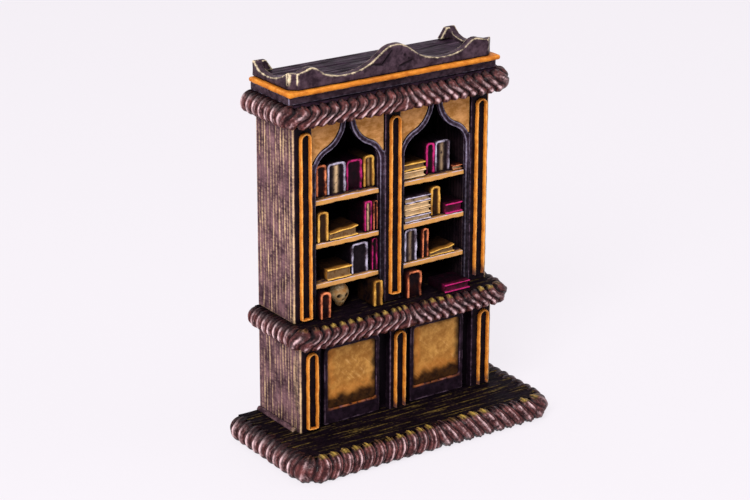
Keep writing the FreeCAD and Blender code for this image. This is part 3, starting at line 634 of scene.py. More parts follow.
class BOOKCASE_OT_carcass(bpy.types.Operator):
    """Side walls, pilasters, back panels, skirting and the boards behind the doors"""

    bl_idname = "bookcase.carcass"
    bl_label = "Carcass"

    def execute(self, context):
        p = paints()
        side_coat = painted("side_grain", p.side, p.side_deep, p.bone_edge, (1.0, 2.0, 0.5),
                            dry=0.86, reach=0.42, rough=0.45, relief=0.5, blotch=0.35,
                            dash=(1.0, 1.2, 3.2))
        plain = carcass_paint()
        walls = [(level, side) for level in LEVELS for side in SIDES]
        for seed, (level, side) in enumerate(walls):
            node = f"{level}_{side}_side"
            counts = (4, 84, 60 if level == "lower" else 110)
            grained(f"{node}_wall", node, X, Z, counts, side_coat, seed * 3.0,
                    inner=1 if side == "left" else -1, even=1.35)
        for level in LEVELS:
            for i, part in enumerate(("left", "middle", "right")):
                node = f"{level}_{part}_pilaster"
                post = rough_block(f"{node}_post", node, (18, 6, 90), plain, i + 2.0,
                                   darkening=0.8)
                if part != "middle":
                    self.outer_face(post, node, part, side_coat)
            node = f"{level}_back_panel"
            grained(f"{node}_planks", node, Y, Z, (70, 3, 40),
                    carcass_paint("back_plum", (3.0, 1.0, 0.5)), 8.0, inner=-1)
        # The board behind the doors and the partition between the bays are dark all over but their
        # edges, painted shade inside the case.
        for node in ("lower_face_board", "upper_partition"):
            rough_block(f"{node}_slab", node, (30, 8, 30), plain, 4.0, darkening=1.0)
        strip = painted("skirting_purple", p.side, p.side_deep, p.lavender, (1.5, 1.0, 2.0),
                        dry=0.5, accent=p.bone_edge, rough=0.45)
        for side in SIDES:
            node = f"{side}_skirting"
            points, faces, _, edge, hollow = softened(node, 0.1, 3, 0.03, 2.0)
            start = points[:, Y].min()
            front = smooth(start + 1.0, start + 0.3, points[:, Y])
            mesh = make_mesh(f"{node}_strip", points, faces, edge=np.clip(edge * 0.7 + 0.1, 0, 1),
                             wash=np.maximum(hollow * 0.5, 0.4 * (1 - edge)), tip=0.4 * front)
            add_piece(f"{node}_strip", mesh, strip, node)
        return {"FINISHED"}

    def outer_face(self, post, node, side, coat):
        """Carries the grain of the side wall on over a pilaster's outer face to its front edge."""
        mesh = post.data
        mesh.materials.append(coat)
        low, high = node_box(node)
        outer = low[X] if side == "left" else high[X]
        limit = 0.3
        for face in mesh.polygons:
            x = sum(mesh.vertices[i].co.x for i in face.vertices) / len(face.vertices) / MM
            if abs(x - outer) < limit:
                face.material_index = 1
        marks, darkenings = mesh.attributes["edge"].data, mesh.attributes["wash"].data
        for i, vertex in enumerate(mesh.vertices):
            x, y, z = vertex.co / MM
            if abs(x - outer) < limit:
                ridge = 0.5 + 0.5 * noise.noise(Vector((0.2, y * 2.3, z * 0.3)))
                corner = smooth(low[Y] + 0.4, low[Y] + 0.1, y)
                marks[i].value = max(0.6 * ridge, (0.35 + 0.6 * ridge) * corner)
                darkenings[i].value *= 0.25
            else:
                marks[i].value *= 0.7


# Widths of a door frame's rim and foot in millimetres, and the slant of its panel's strokes.
DOOR_RIM, DOOR_FOOT = 0.6, 2.4
BRUSH_SLANT = 0.7


class BOOKCASE_OT_doors(bpy.types.Operator):
    """The two fixed doors, each a frame round a tan panel"""

    bl_idname = "bookcase.doors"
    bl_label = "Doors"

    def execute(self, context):
        p = paints()
        plum = carcass_paint("door_plum", (1.4, 1.4, 1.4), dry=0.75, accent=p.gold_deep)
        tan = painted("door_tan", p.tan, p.tan_deep, p.tan_light, (1.5, 1.5, 1.5), dry=0.42,
                      reach=0.5, rough=0.4, relief=0.2, hollow=0.6, accent=p.gold_deep)
        for seed, side in enumerate(SIDES):
            self.rim(f"{side}_door_frame", node_box(f"{side}_door_panel")[0][Z], plum, seed)
            self.panel(f"{side}_door_panel", *node_box(f"{side}_door_frame"), tan, seed)
        return {"FINISHED"}

    def rim(self, node, sill, coat, seed):
        """A door's frame, with patchy edges, a bright foot and a gold line along its sill."""
        low, high = node_box(node)
        size = sizes()
        points, faces, _, edge, hollow = softened(
            node, size["voxel"], 4, size["wobble"], seed * 4.0)
        x, z = points[:, X], points[:, Z]
        foot = smooth(low[Z] + 0.5, low[Z] + 0.1, z)
        patchy = np.clip(0.6 + ripple(points, (0.5, 0.5, 0.5), seed + 2.0), 0, 1)
        gilt = np.clip(0.75 + ripple(points, (0.9, 0.9, 0.9), seed + 5.0), 0, 1)
        gilt = 0.55 * gilt * smooth(0.3, 0.12, np.abs(z - sill))
        gilt = gilt * smooth(0.3, 0.9, x - low[X]) * smooth(0.3, 0.9, high[X] - x)
        darkening = (np.clip(0.45 - edge, 0, 1) + hollow * 0.5) * (1 - gilt)
        mesh = make_mesh(f"{node}_rim", points, faces, edge=np.maximum(edge, foot) * patchy,
                         tip=gilt, wash=darkening)
        add_piece(f"{node}_rim", mesh, coat, node)

    def panel(self, node, low, high, coat, seed):
        """A door's panel, brushed aslant and dark towards the edges of the frame's opening."""
        points, faces, out, _ = block(*node_box(node), 0.08, (80, 2, 88), 0.4)
        x, z = points[:, X], points[:, Z]
        left, right = low[X] + DOOR_RIM, high[X] - DOOR_RIM
        bottom, top = low[Z] + DOOR_FOOT, high[Z] - DOOR_RIM
        slope, along = (x + z) * BRUSH_SLANT, (x - z) * BRUSH_SLANT
        strokes = np.stack([slope * 3.8, along * 0.3, np.zeros(len(points))], axis=1)
        stroke = ripple(strokes, (1, 1, 1), seed * 5.0 + 1)
        front = out[:, Y] < -0.5
        rag = 0.07 * ripple(points, (0.8, 0, 0.8), seed + 6.0) + 0.012 * stroke
        across, up = (x - left) / (right - left), (z - bottom) / (top - bottom) + rag
        at_foot = smooth(0.26, 0.1, up - 0.05 * across)
        across = across + rag
        at_right = 0.95 * smooth(0.85, 1.0, across)
        at_left = 0.6 * smooth(0.1, -0.02, across)
        at_top = 0.6 * smooth(0.94, 1.02, up)
        darkening = 0.95 * np.maximum.reduce([at_foot, at_right, at_left, at_top])
        brown = 0.45 * np.maximum(smooth(0.5, 0.2, up), smooth(0.2, 0.05, across))
        points[:, Y] -= front * (0.035 * stroke - 0.02)
        mesh = make_mesh(f"{node}_slab", points, faces, edge=np.clip(stroke * 1.4, 0, 1),
                         wash=darkening, tip=brown)
        add_piece(f"{node}_slab", mesh, coat, node)


# Half a trim's width, how far in from it the bead's middle runs, and how much lower one trim hangs,
# in millimetres.
TRIM_HALF, BEAD_INSET, TRIM_DRIP = 1.05, 0.26, 0.8
# The bead's half width, height, and middle above a closed foot, and the step along it.
BEAD_HALF, BEAD_LIFT, BEAD_FOOT, BEAD_STEP = 0.175, 0.62, 0.3, 0.22


class BOOKCASE_OT_trims(bpy.types.Operator):
    """Gold inverted-U trims on the pilasters"""

    bl_idname = "bookcase.trims"
    bl_label = "Trims"

    def execute(self, context):
        p = paints()
        coat = painted("trim_gold", p.gold, p.gold_deep, p.gold_light, (2.0, 2.0, 1.2), dry=0.5,
                       reach=0.45, rough=0.34, accent=p.plum, relief=0.3, hollow=0.6)
        for level in LEVELS:
            node = f"{level}_trims"
            low, high = node_box(node)
            points, faces, marks, tips = [], [], [], []
            # The left trims and the upper middle one are closed; the upper left one hangs lower.
            for number, x in enumerate((low[X] + 1.35, 0.3, high[X] - 0.85)):
                closed = number == 0 or (number == 1 and level == "upper")
                drip = TRIM_DRIP if number == 0 and level == "upper" else 0.0
                made = self.bow(x, low - [0, 0, drip], high, closed, number * 7.0 + len(level))
                faces += [tuple(i + len(points) for i in face) for face in made[1]]
                points += made[0].tolist()
                marks += made[2].tolist()
                tips += made[3].tolist()
            mesh = make_mesh(f"{node}_beads", points, faces, edge=marks, tip=tips,
                             wash=np.zeros(len(points)))
            add_piece(f"{node}_beads", mesh, coat, node)
        return {"FINISHED"}

    def bow(self, x, low, high, closed, seed):
        """One trim: a bead up one leg, over and down the other, and across the foot if closed."""
        half = TRIM_HALF - BEAD_INSET
        crown = high[Z] - TRIM_HALF
        steps = int((crown - low[Z]) / BEAD_STEP)
        rise = np.linspace(low[Z] + BEAD_FOOT * closed, crown, steps)
        turn = np.radians(np.linspace(180, 0, 15))[1:-1]
        xs = [np.full(len(rise), -half), half * np.cos(turn), np.full(len(rise), half)]
        zs = [rise, crown + half * np.sin(turn), rise[::-1]]
        away = [np.full(len(rise), np.pi), turn, np.zeros(len(rise))]
        if closed:
            under = np.radians(np.linspace(0, -180, 9))[1:]
            xs.append(half * np.cos(under))
            zs.append(low[Z] + BEAD_FOOT + 0.1 * np.sin(under))
            away.append(under)
        xs, zs, away = np.concatenate(xs), np.concatenate(zs), np.concatenate(away)
        line = np.stack([xs, np.zeros(len(xs)), zs], axis=-1)
        wave = 0.06 * ripple(line, (1, 1, 0.5), seed)
        thick = 1 + 0.18 * ripple(line, (1, 1, 0.9), seed + 3)
        around = np.radians(np.linspace(-20, 200, 9))[None, :]
        side = BEAD_HALF * np.cos(around) * thick[:, None]
        lift = BEAD_LIFT * np.clip(np.sin(around), -0.3, 1) * (0.5 + 0.5 * thick[:, None])
        px = x + xs[:, None] + (side + wave[:, None]) * np.cos(away)[:, None]
        pz = zs[:, None] + (side + wave[:, None]) * np.sin(away)[:, None]
        pz = np.clip(pz, low[Z], high[Z])
        py = np.maximum(high[Y] - lift, low[Y])
        points = np.stack([px, py, pz], axis=-1).reshape(-1, 3)
        rows, columns = px.shape
        faces = grid_faces(rows, columns, wrap=True)
        faces += [tuple(range(columns)), tuple(len(points) - 1 - i for i in range(columns))]
        crest = np.broadcast_to(smooth(0.4, 1.0, np.sin(around)), px.shape).reshape(-1)
        tip = (0.0 if closed else 0.9) * smooth(low[Z] + 2.0, low[Z] + 0.2, points[:, Z])
        return points, faces, crest, tip


class BOOKCASE_OT_arches(bpy.types.Operator):
    """Arch mouldings and the tan spandrels over the two bays"""

    bl_idname = "bookcase.arches"
    bl_label = "Arches"

    def execute(self, context):
        p = paints()
        strip = painted("arch_purple", p.plum, p.plum_deep, p.lavender, (1.8, 1.8, 1.8), dry=0.72,
                        reach=0.5, rough=0.48)
        tan = painted("spandrel_tan", p.sand, p.tan_deep, p.tan_light, (1.2, 1.2, 2.6), dry=0.6,
                      reach=0.5, rough=0.42, relief=0.5)
        for seed, side in enumerate(SIDES):
            for kind, coat, slot in (("trim", strip, "arch_moulding"), ("panel", tan, "tan_panel")):
                node = f"{side}_arch_{kind}"
                points, faces, _, edge, hollow = softened(node, 0.14, 3, 0.03, seed * 3.0)
                darkening = hollow * 0.6
                if kind == "trim":
                    below = points[:, Z].max() - points[:, Z]
                    darkening = np.maximum(darkening, 0.8 * smooth(9, 15, below))
                mesh = make_mesh(f"{node}_cast", points, faces, edge=edge, wash=darkening)
                add_piece(f"{node}_cast", mesh, coat, node)
        return {"FINISHED"}


class BOOKCASE_OT_shelves(bpy.types.Operator):
    """The six shelves"""

    bl_idname = "bookcase.shelves"
    bl_label = "Shelves"

    def execute(self, context):
        p = paints()
        coat = painted("shelf_sand", p.sand, p.tan, p.lavender_light, (0.9, 3.0, 3.0), dry=0.62,
                       reach=0.3, rough=0.46, accent=p.plum)
        for side in SIDES:
            for row in ("low", "mid", "top"):
                node = f"{side}_{row}_shelf"
                low, high = node_box(node)
                points, faces, out, edge = block(low, high, 0.2, (46, 14, 5), 0.3)
                points = uneven(points, out, 0.11, (0.9, 0.9, 0.9), low[Z], sunk=0.5)
                # Behind the front edge the top takes plum, and painted shade deepens towards the
                # back of the case.
                back = points[:, Y] - low[Y]
                inside = smooth(0.25, 0.7, back)
                upper = smooth(high[Z] - 0.3, high[Z] - 0.1, points[:, Z])
                mesh = make_mesh(f"{node}_edge", points, faces, edge=edge * (1 - inside) * upper,
                                 tip=inside, wash=inside * smooth(0.8, 2.5, back))
                add_piece(f"{node}_edge", mesh, coat, node)
        return {"FINISHED"}


# Ends of the lines cut into the crest's face, across and up in millimetres.
CREST_LINES = (((-0.7, 58.6), (-2.4, 56.8)), ((-4.1, 57.1), (-2.4, 56.8)),
               ((1.55, 57.7), (1.6, 57.65)), ((2.25, 57.15), (2.3, 57.1)),
               ((2.8, 56.75), (0.7, 56.2)))


class BOOKCASE_OT_cornice(bpy.types.Operator):
    """Frieze, bead and the scalloped crest"""

    bl_idname = "bookcase.cornice"
    bl_label = "Cornice"

    def execute(self, context):
        p = paints()
        grey = painted("frieze_grey", p.crest, p.crest_deep, p.lavender, (1.2, 2.0, 2.0), dry=0.6,
                       rough=0.45, hollow=0.4)
        rough_block("cornice_frieze_band", "cornice_frieze", (90, 30, 8), grey, 3.0)
        bead = painted("bead_gold", p.gold, p.gold_deep, p.gold_light, (0.8, 2.0, 2.0), dry=0.35,
                       reach=0.5, rough=0.36)
        rough_block("cornice_bead_roll", "cornice_bead", (90, 30, 4), bead, 6.0,
                    radius=0.36, edge_width=0.35)
        crest = painted("crest_grey", p.crest, p.crest_deep, p.bone_light, (1.4, 1.4, 1.4),
                        dry=0.62, reach=0.4, rough=0.42)
        size = sizes()
        for part in ("front", "left", "right"):
            node = f"crest_{part}"
            points, faces, out, edge, hollow = softened(node, size["voxel"], 3, size["wobble"], 1.0)
            up = points[:, Z] - points[:, Z].min()
            edge = edge * smooth(0.3, 0.8, up)
            if part == "front":
                chamfer = smooth(0.3, 0.5, np.abs(out[:, X])) * smooth(0.3, 0.5, -out[:, Y])
                streak = np.clip(0.5 + 1.4 * ripple(points, (1.8, 1.8, 0.5), 4.0), 0, 1)
                streak = chamfer * streak * smooth(0, 1.5, up)
                edge = np.maximum(edge * (1 - 0.5 * chamfer), streak)
                cut = self.scratches(points) * (out[:, Y] < -0.6)
                points[:, Y] += 0.14 * cut
                hollow = np.maximum(hollow, 0.8 * cut)
            mesh = make_mesh(f"{node}_cast", points, faces, edge=edge, wash=hollow)
            add_piece(f"{node}_cast", mesh, crest, node)
        return {"FINISHED"}

    def scratches(self, points):
        """How deep the small pediment lines in the crest's face are at each point, from 0 to 1."""
        near = np.full(len(points), np.inf)
        spots = points[:, [X, Z]]
        for start, end in CREST_LINES:
            start, way = np.array(start), np.subtract(end, start)
            share = np.clip((spots - start) @ way / (way @ way), 0, 1)
            near = np.minimum(near, np.linalg.norm(spots - start - share[:, None] * way, axis=1))
        return smooth(0.22, 0.08, near)


# Standing books, in millimetres: left end, width, front, height and colour, and for some how
# plainly a pale strip shows on the spine.
UPRIGHTS = {
    "left_row_1": [(-12.3, 1.9, 2.3, 4.8, "rust"), (-10.35, 3.2, 2.3, 4.7, "lavender", 0.9),
                   (-7.1, 2.8, 2.3, 4.6, "magenta"), (-4.1, 1.95, 2.3, 4.75, "ochre", 0.5)],
    "left_row_2": [(-12.6, 1.9, 1.4, 4.6, "ochre"), (-4.4, 1.4, 1.6, 4.7, "magenta", 0.9),
                   (-2.95, 0.8, 1.4, 4.6, "rust")],
    "left_row_3": [(-6.6, 2.95, 1.7, 4.7, "lavender"), (-3.2, 1.05, 1.4, 5.0, "magenta")],
    "left_row_4": [(-13.1, 1.85, 0.0, 4.15, "rust"), (-3.75, 1.6, 0.0, 4.1, "ochre")],
    "right_row_1": [(6.8, 1.65, 2.1, 4.8, "magenta"), (8.5, 2.7, 2.2, 4.8, "lavender", 0.6)],
    "right_row_2": [(7.7, 1.8, 2.0, 4.5, "ochre")],
    "right_row_3": [(2.55, 2.35, 1.4, 5.1, "lavender", 0.5), (5.9, 1.2, 1.5, 4.6, "rust")],
    "right_row_4": [(2.2, 2.6, 0.0, 4.15, "rust")],
}
# Lying books, in millimetres: left end, width, front, height above the shelf, thickness and colour,
# and for some the share of their thickness that they sag by.
FLATS = {
    "left_row_2": [(-10.6, 4.95, 1.3, 0, 1.6, "ochre", 0.3)],
    "left_row_3": [(-11.0, 4.3, 1.3, 0, 1.75, "ochre")],
    "right_row_1": [(2.4, 4.25, 1.8, 0, 1.15, "cream"), (2.6, 4.1, 1.9, 1.15, 1.15, "ochre"),
                    (11.35, 1.8, 1.5, 0, 0.7, "rust")],
    "right_row_2": [(2.6, 4.8, 1.3, 0, 0.95, "lavender"), (2.75, 4.6, 1.4, 0.95, 0.95, "cream"),
                    (2.55, 4.75, 1.35, 1.9, 0.95, "cream"),
                    (2.7, 4.65, 1.4, 2.85, 0.95, "lavender"), (9.9, 3.2, 1.3, 0, 1.6, "magenta")],
    "right_row_3": [(7.2, 4.5, 1.3, 0, 1.25, "ochre", 0.45)],
    "right_row_4": [(8.0, 4.7, -1.4, 0, 1.35, "magenta")],
}
BOOK_DEPTH = 4.5
# How dark and how cream the pages of lying books are, by the colour of their covers.
PAGES = {"magenta": (0.3, 0.0), "ochre": (0.7, 0.35), "lavender": (0.4, 0.7), "cream": (0.4, 0.7),
         "rust": (0.4, 0.7)}


def book_paint(name):
    """The paint of one colour of book."""
    p = paints()
    base, deep, light = {
        "rust": (p.rust, p.rope_deep, p.rust_light),
        "lavender": (p.crest, p.crest_deep, p.lavender_light),
        "magenta": (p.magenta, p.rope_deep, p.magenta_light),
        "ochre": (p.ochre, p.tan_deep, p.ochre_light),
        "cream": (p.cream, p.tan, p.cream),
    }[name]
    return held(f"book_{name}", lambda: painted(
        f"book_{name}", base, deep, light, (2.0, 2.0, 1.6), dry=0.7, reach=0.4, accent=p.cream,
        rough=0.4, relief=0.3, hollow=0.7))


class BOOKCASE_OT_books(bpy.types.Operator):
    """Books on the shelves and the counter"""

    bl_idname = "bookcase.books"
    bl_label = "Books"

    def execute(self, context):
        for bay, rows in UPRIGHTS.items():
            floor = node_box(f"{bay}_books")[0][Z]
            for i, row in enumerate(rows, start=1):
                self.upright(f"{bay}_book_{i}", f"{bay}_books", floor, *row)
        for bay, rows in FLATS.items():
            floor = node_box(f"{bay}_lying")[0][Z]
            for i, row in enumerate(rows, start=1):
                self.flat(f"{bay}_flat_{i}", f"{bay}_lying", floor, *row)
        return {"FINISHED"}

    def upright(self, name, node, floor, x, width, y, height, paint, strip=0.0):
        """A standing book whose round-headed spine has a raised rim round a sunk, dark field."""
        low = np.array([x, y, floor])
        high = np.array([x + width, y + BOOK_DEPTH, floor + height])
        centre = x + 0.5 * width
        points, faces, out, edge = block(low, high, 0.14, (max(10, int(width * 8)), 10, 28), 0.3)
        rim = min(0.45, width * 0.3)
        arc = min(0.75, 0.42 * width)

        # How far in each point is from the spine's sides and round head.
        sides = np.minimum(points[:, X] - low[X], high[X] - points[:, X])
        near = np.stack([sides, high[Z] - points[:, Z]], 1)
        beside = arc - near
        beyond = np.linalg.norm(np.clip(beside, 0, None), axis=1)
        corner = (beside > 0).all(1)
        inward = np.where(corner, arc - beyond, near.min(1))

        # The sunk field with its strip, and the head's corners pulled in to the arc.
        field = smooth(rim - 0.12, rim + 0.06, inward)
        front = smooth(low[Y] + 0.25, low[Y] + 0.02, points[:, Y])
        middle = np.exp(-((points[:, X] - centre) / (0.13 * width)) ** 2) * field * front * strip
        points[:, Y] += 0.28 * field * front * (1 - 0.7 * middle)
        shrink = np.where(corner & (beyond > arc), 1 - arc / np.maximum(beyond, arc), 0)
        points[:, X] += shrink * beside[:, 0] * np.where(points[:, X] < centre, 1, -1)
        points[:, Z] -= shrink * beside[:, 1]
        points = uneven(points, out, 0.1, (1.1, 1.1, 0.9), x, sunk=0.5)

        # Worn rims, and painted shade behind the spine and on the sides and head.
        back = points[:, Y] - low[Y]
        head = smooth(high[Z] - 0.1, high[Z], points[:, Z]) * smooth(0.3, 0.5, back)
        light_coat = np.clip(0.7 + 0.6 * ripple(points, (0.9, 0.9, 0.6), x + 3), 0.35, 1)
        mark = np.maximum(edge * 0.6, front * (1 - field)) * light_coat
        behind = smooth(0.3, 1.8, back)
        roof = np.maximum(out[:, Z], np.abs(out[:, X]))
        roof = 0.99 * smooth(0.3, 0.7, roof) * smooth(0.3, 0.6, back)
        darkening = np.maximum.reduce([field * front * 0.95, behind, roof])
        mesh = make_mesh(name, points, faces, edge=mark * (1 - behind), wash=darkening * (1 - middle),
                         tip=np.maximum(0.9 * middle, 0.2 * head * field))
        add_piece(name, mesh, book_paint(paint), node)

    def flat(self, name, node, floor, x, width, y, up, height, paint, sag=0.0):
        """A lying book with its pages sunk between covers that may sag away from its right end."""
        low = np.array([x, y, floor + up])
        high = np.array([x + width, y + BOOK_DEPTH, floor + up + height])
        points, faces, out, edge = block(low, high, 0.12, (26, 20, max(8, int(height * 9))), 0.25)
        cover = min(0.3, height * 0.27)
        depth = np.minimum(points[:, Z] - low[Z], high[Z] - points[:, Z])
        field = smooth(cover - 0.1, cover + 0.05, depth)
        front = smooth(low[Y] + 0.25, low[Y] + 0.02, points[:, Y])
        right = smooth(high[X] - 0.25, high[X] - 0.02, points[:, X])
        points[:, Y] += 0.26 * field * front
        points[:, X] -= 0.26 * field * right
        points = uneven(points, out, 0.09, (1.0, 1.0, 1.2), x, sunk=0.5)
        shown = np.maximum(front, right)
        mark, pages = np.maximum(edge * 0.6, shown * (1 - field)), shown * field
        # Painted shade over the book behind its front.
        behind = 0.98 * smooth(low[Y] + 0.3, low[Y] + 1.2, points[:, Y])
        share = (points[:, X] - x) / width
        bow = (1 - smooth(0.72, 1.0, share)) * (1 - 0.5 * smooth(0.0, 0.5, share))
        points[:, Z] -= sag * bow * (points[:, Z] - low[Z])
        dark, pale = PAGES[paint]
        mesh = make_mesh(name, points, faces, edge=mark * (1 - behind),
                         wash=np.maximum(pages * dark, behind), tip=pages * pale)
        add_piece(name, mesh, book_paint(paint), node)


# The skull's radii, and its eye sockets and nose: place across and up, radius and depth, all in
# millimetres.
SKULL_RADII = (1.62, 1.68, 1.7)
SKULL_HOLES = ((-0.62, -0.12, 0.42, 0.5), (0.62, -0.12, 0.42, 0.5), (0.0, -0.72, 0.22, 0.3))


class BOOKCASE_OT_skull(bpy.types.Operator):
    """The little skull on the counter"""

    bl_idname = "bookcase.skull"
    bl_label = "Skull"

    def execute(self, context):
        p = paints()
        low, high = node_box("skull")
        middle = (low + high) / 2
        rows, columns, pole = 44, 56, 0.02
        polar = np.linspace(pole, np.pi - pole, rows)[:, None]
        around = np.linspace(0, 2 * np.pi, columns, endpoint=False)[None, :]
        unit = [np.sin(polar) * np.cos(around), np.sin(polar) * np.sin(around), np.cos(polar)]
        unit = np.stack(np.broadcast_arrays(*unit), axis=-1).reshape(-1, 3)
        jaw = smooth(0.05, -0.75, unit[:, Z])
        points = unit * SKULL_RADII
        points[:, X] *= 1 - 0.42 * jaw
        points[:, Y] = points[:, Y] * (1 - 0.3 * jaw) - 0.35 * jaw
        points[:, Z] *= 1 + 0.2 * jaw
        dent = np.zeros(len(points))
        for x, z, wide, deep in SKULL_HOLES:
            gap = np.hypot(points[:, X] - x, points[:, Z] - z)
            dent += deep * smooth(wide, wide * 0.35, gap) * (points[:, Y] < 0)
        points[:, Y] += dent
        teeth = smooth(-1.15, -1.3, points[:, Z]) * smooth(-1.85, -1.7, points[:, Z])
        teeth = teeth * (points[:, Y] < -0.6)
        points[:, Y] += 0.08 * teeth * (1 + np.sin(points[:, X] * 16))
        up = points[:, Z] - points[:, Z].min()
        points[:, Z] = up * (high[Z] - low[Z]) / up.max()
        points += [middle[X], middle[Y] + 0.05, low[Z]]
        points = np.clip(points, low, high)
        faces = [q[::-1] for q in grid_faces(rows, columns, wrap=True)]
        faces += [tuple(range(columns)), tuple(len(points) - 1 - i for i in range(columns))]
        coat = painted("skull_bone", p.bone, p.tan_deep, p.bone_light, (1.5, 1.5, 1.5), dry=0.5,
                       rough=0.5, hollow=0.8)
        # Light bone over the upper part of the skull, a painted highlight that grows towards its
        # top.
        mark = smooth(-0.2, 0.9, unit[:, Z]) * 0.8
        mesh = make_mesh("skull_cast", points, faces, edge=mark, wash=np.clip(dent * 2.2, 0, 1))
        add_piece("skull_cast", mesh, coat, "skull")
        return {"FINISHED"}


# Lamps: name, place and size in metres, and watts; and the place that they point at.
LAMPS = (("key", (-0.5, -0.4, 0.5), 0.35, 7.4), ("fill", (0.6, -0.45, 0.4), 0.6, 1.7),
         ("top", (0.05, 0.1, 0.8), 0.6, 2.0))
LAMP_AIM = Vector((0, 0, 0.03))
# Half the floor's width in metres, the share of it that glows to the camera, and how strongly.
FLOOR_REACH, FLOOR_SHARE, FLOOR_GLOW = 3, 0.88, 0.96
# Strength of the light from all round, and of what the camera sees of it.
SKY_LIGHT, SKY_SHOWN = 0.25, 1.0


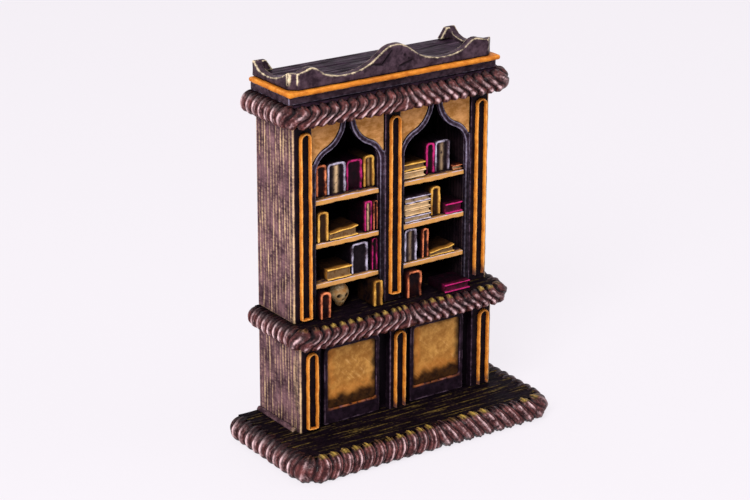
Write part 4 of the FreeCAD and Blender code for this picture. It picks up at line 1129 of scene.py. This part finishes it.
class BOOKCASE_OT_stage(bpy.types.Operator):
    """Floor, light and the camera"""

    bl_idname = "bookcase.stage"
    bl_label = "Stage"

    def execute(self, context):
        scene = context.scene
        scene.view_settings.view_transform = "Standard"
        paper = (*paints().paper, 1)
        mesh = bpy.data.meshes.new("floor")
        corners = [(-1, -1), (1, -1), (1, 1), (-1, 1)]
        corners = [(x * FLOOR_REACH, y * FLOOR_REACH, 0) for x, y in corners]
        mesh.from_pydata(corners, [], [(0, 1, 2, 3)])
        mesh.materials.append(self.floor_paper(paper))
        floor = bpy.data.objects.new("floor", mesh)
        scene.collection.objects.link(floor)
        self.sky(scene, paper)
        for name, spot, size, power in LAMPS:
            lamp = bpy.data.lights.new(name, "AREA")
            lamp.energy, lamp.size = power, size
            light = bpy.data.objects.new(name, lamp)
            scene.collection.objects.link(light)
            light.location = spot
            way = LAMP_AIM - Vector(spot)
            light.rotation_euler = way.to_track_quat("-Z", "Y").to_euler()
        self.camera(scene)
        return {"FINISHED"}

    def floor_paper(self, paper):
        """White paper that keeps a soft shadow and shows white to the camera."""
        material = bpy.data.materials.new("floor_paper")
        material.use_nodes = True
        tree = material.node_tree
        tree.nodes.clear()
        share = tree.nodes.new("ShaderNodeMath")
        share.operation = "MULTIPLY"
        tree.links.new(self.looked_at(tree), share.inputs[0])
        share.inputs[1].default_value = FLOOR_SHARE
        matt = tree.nodes.new("ShaderNodeBsdfDiffuse")
        matt.inputs["Color"].default_value = paper
        glow = tree.nodes.new("ShaderNodeEmission")
        glow.inputs["Color"].default_value = paper
        glow.inputs["Strength"].default_value = FLOOR_GLOW
        both = tree.nodes.new("ShaderNodeMixShader")
        tree.links.new(share.outputs[0], both.inputs["Fac"])
        tree.links.new(matt.outputs[0], both.inputs[1])
        tree.links.new(glow.outputs[0], both.inputs[2])
        end = tree.nodes.new("ShaderNodeOutputMaterial")
        tree.links.new(both.outputs[0], end.inputs["Surface"])
        return material

    def looked_at(self, tree):
        """One for rays that show the stage: straight, mirrored or through clear pieces."""
        path = tree.nodes.new("ShaderNodeLightPath")
        share = path.outputs["Is Camera Ray"]
        for kind in ("Is Glossy Ray", "Is Transmission Ray"):
            both = tree.nodes.new("ShaderNodeMath")
            both.operation = "MAXIMUM"
            tree.links.new(share, both.inputs[0])
            tree.links.new(path.outputs[kind], both.inputs[1])
            share = both.outputs[0]
        return share

    def sky(self, scene, paper):
        """Even pale light from all round, white to the camera."""
        world = bpy.data.worlds.new("studio")
        scene.world = world
        world.use_nodes = True
        tree = world.node_tree
        level = tree.nodes.new("ShaderNodeMapRange")
        tree.links.new(self.looked_at(tree), level.inputs["Value"])
        level.inputs["To Min"].default_value = SKY_LIGHT
        level.inputs["To Max"].default_value = SKY_SHOWN
        back = tree.nodes["Background"]
        back.inputs["Color"].default_value = paper
        tree.links.new(level.outputs["Result"], back.inputs["Strength"])

    def camera(self, scene):
        """The camera where the photograph was taken from."""
        lens = bpy.data.cameras.new("camera")
        lens.sensor_width, lens.lens = 36, 114.55
        lens.clip_start, lens.clip_end = 0.01, 20
        camera = bpy.data.objects.new("camera", lens)
        scene.collection.objects.link(camera)
        place = Vector((-0.187996, -0.267087, 0.148717))
        back = Vector((-0.53303, -0.77245, 0.34527))
        right = Vector((0.82306, -0.56796, 0.0))
        up = back.cross(right)
        roll = math.radians(0.219)
        level = right * math.cos(roll) + up * math.sin(roll)
        top = up * math.cos(roll) - right * math.sin(roll)
        turn = Matrix((level, top, back)).transposed().to_4x4()
        camera.matrix_world = Matrix.Translation(place) @ turn
        scene.camera = camera


PIECES = (BOOKCASE_OT_ropes, BOOKCASE_OT_boards, BOOKCASE_OT_carcass, BOOKCASE_OT_doors,
          BOOKCASE_OT_trims, BOOKCASE_OT_arches, BOOKCASE_OT_shelves, BOOKCASE_OT_cornice,
          BOOKCASE_OT_books, BOOKCASE_OT_skull, BOOKCASE_OT_stage)


class BOOKCASE_PT_pieces(bpy.types.Panel):
    """Buttons for the pieces, and the paints and sizes"""

    bl_label = "Bookcase"
    bl_idname = "BOOKCASE_PT_pieces"
    bl_space_type = "VIEW_3D"
    bl_region_type = "UI"
    bl_category = "Bookcase"

    def draw(self, context):
        layout = self.layout
        for piece in PIECES:
            layout.operator(piece.bl_idname)
        for group in (context.scene.bookcase_sizes, context.scene.bookcase_paints):
            for key in group.__annotations__:
                layout.prop(group, key)


CLASSES = (BookcasePaints, BookcaseSizes, *PIECES, BOOKCASE_PT_pieces)


def register():
    """Adds the classes and the settings."""
    for made in CLASSES:
        bpy.utils.register_class(made)
    bpy.types.Scene.bookcase_paints = bpy.props.PointerProperty(type=BookcasePaints)
    bpy.types.Scene.bookcase_sizes = bpy.props.PointerProperty(type=BookcaseSizes)


def unregister():
    """Takes the settings and the classes away."""
    del bpy.types.Scene.bookcase_sizes
    del bpy.types.Scene.bookcase_paints
    for made in reversed(CLASSES):
        bpy.utils.unregister_class(made)


def main():
    """Builds every piece."""
    register()
    for piece in PIECES:
        group, name = piece.bl_idname.split(".")
        getattr(getattr(bpy.ops, group), name)()
    bpy.context.view_layer.update()


if __name__ == "__main__":
    main()
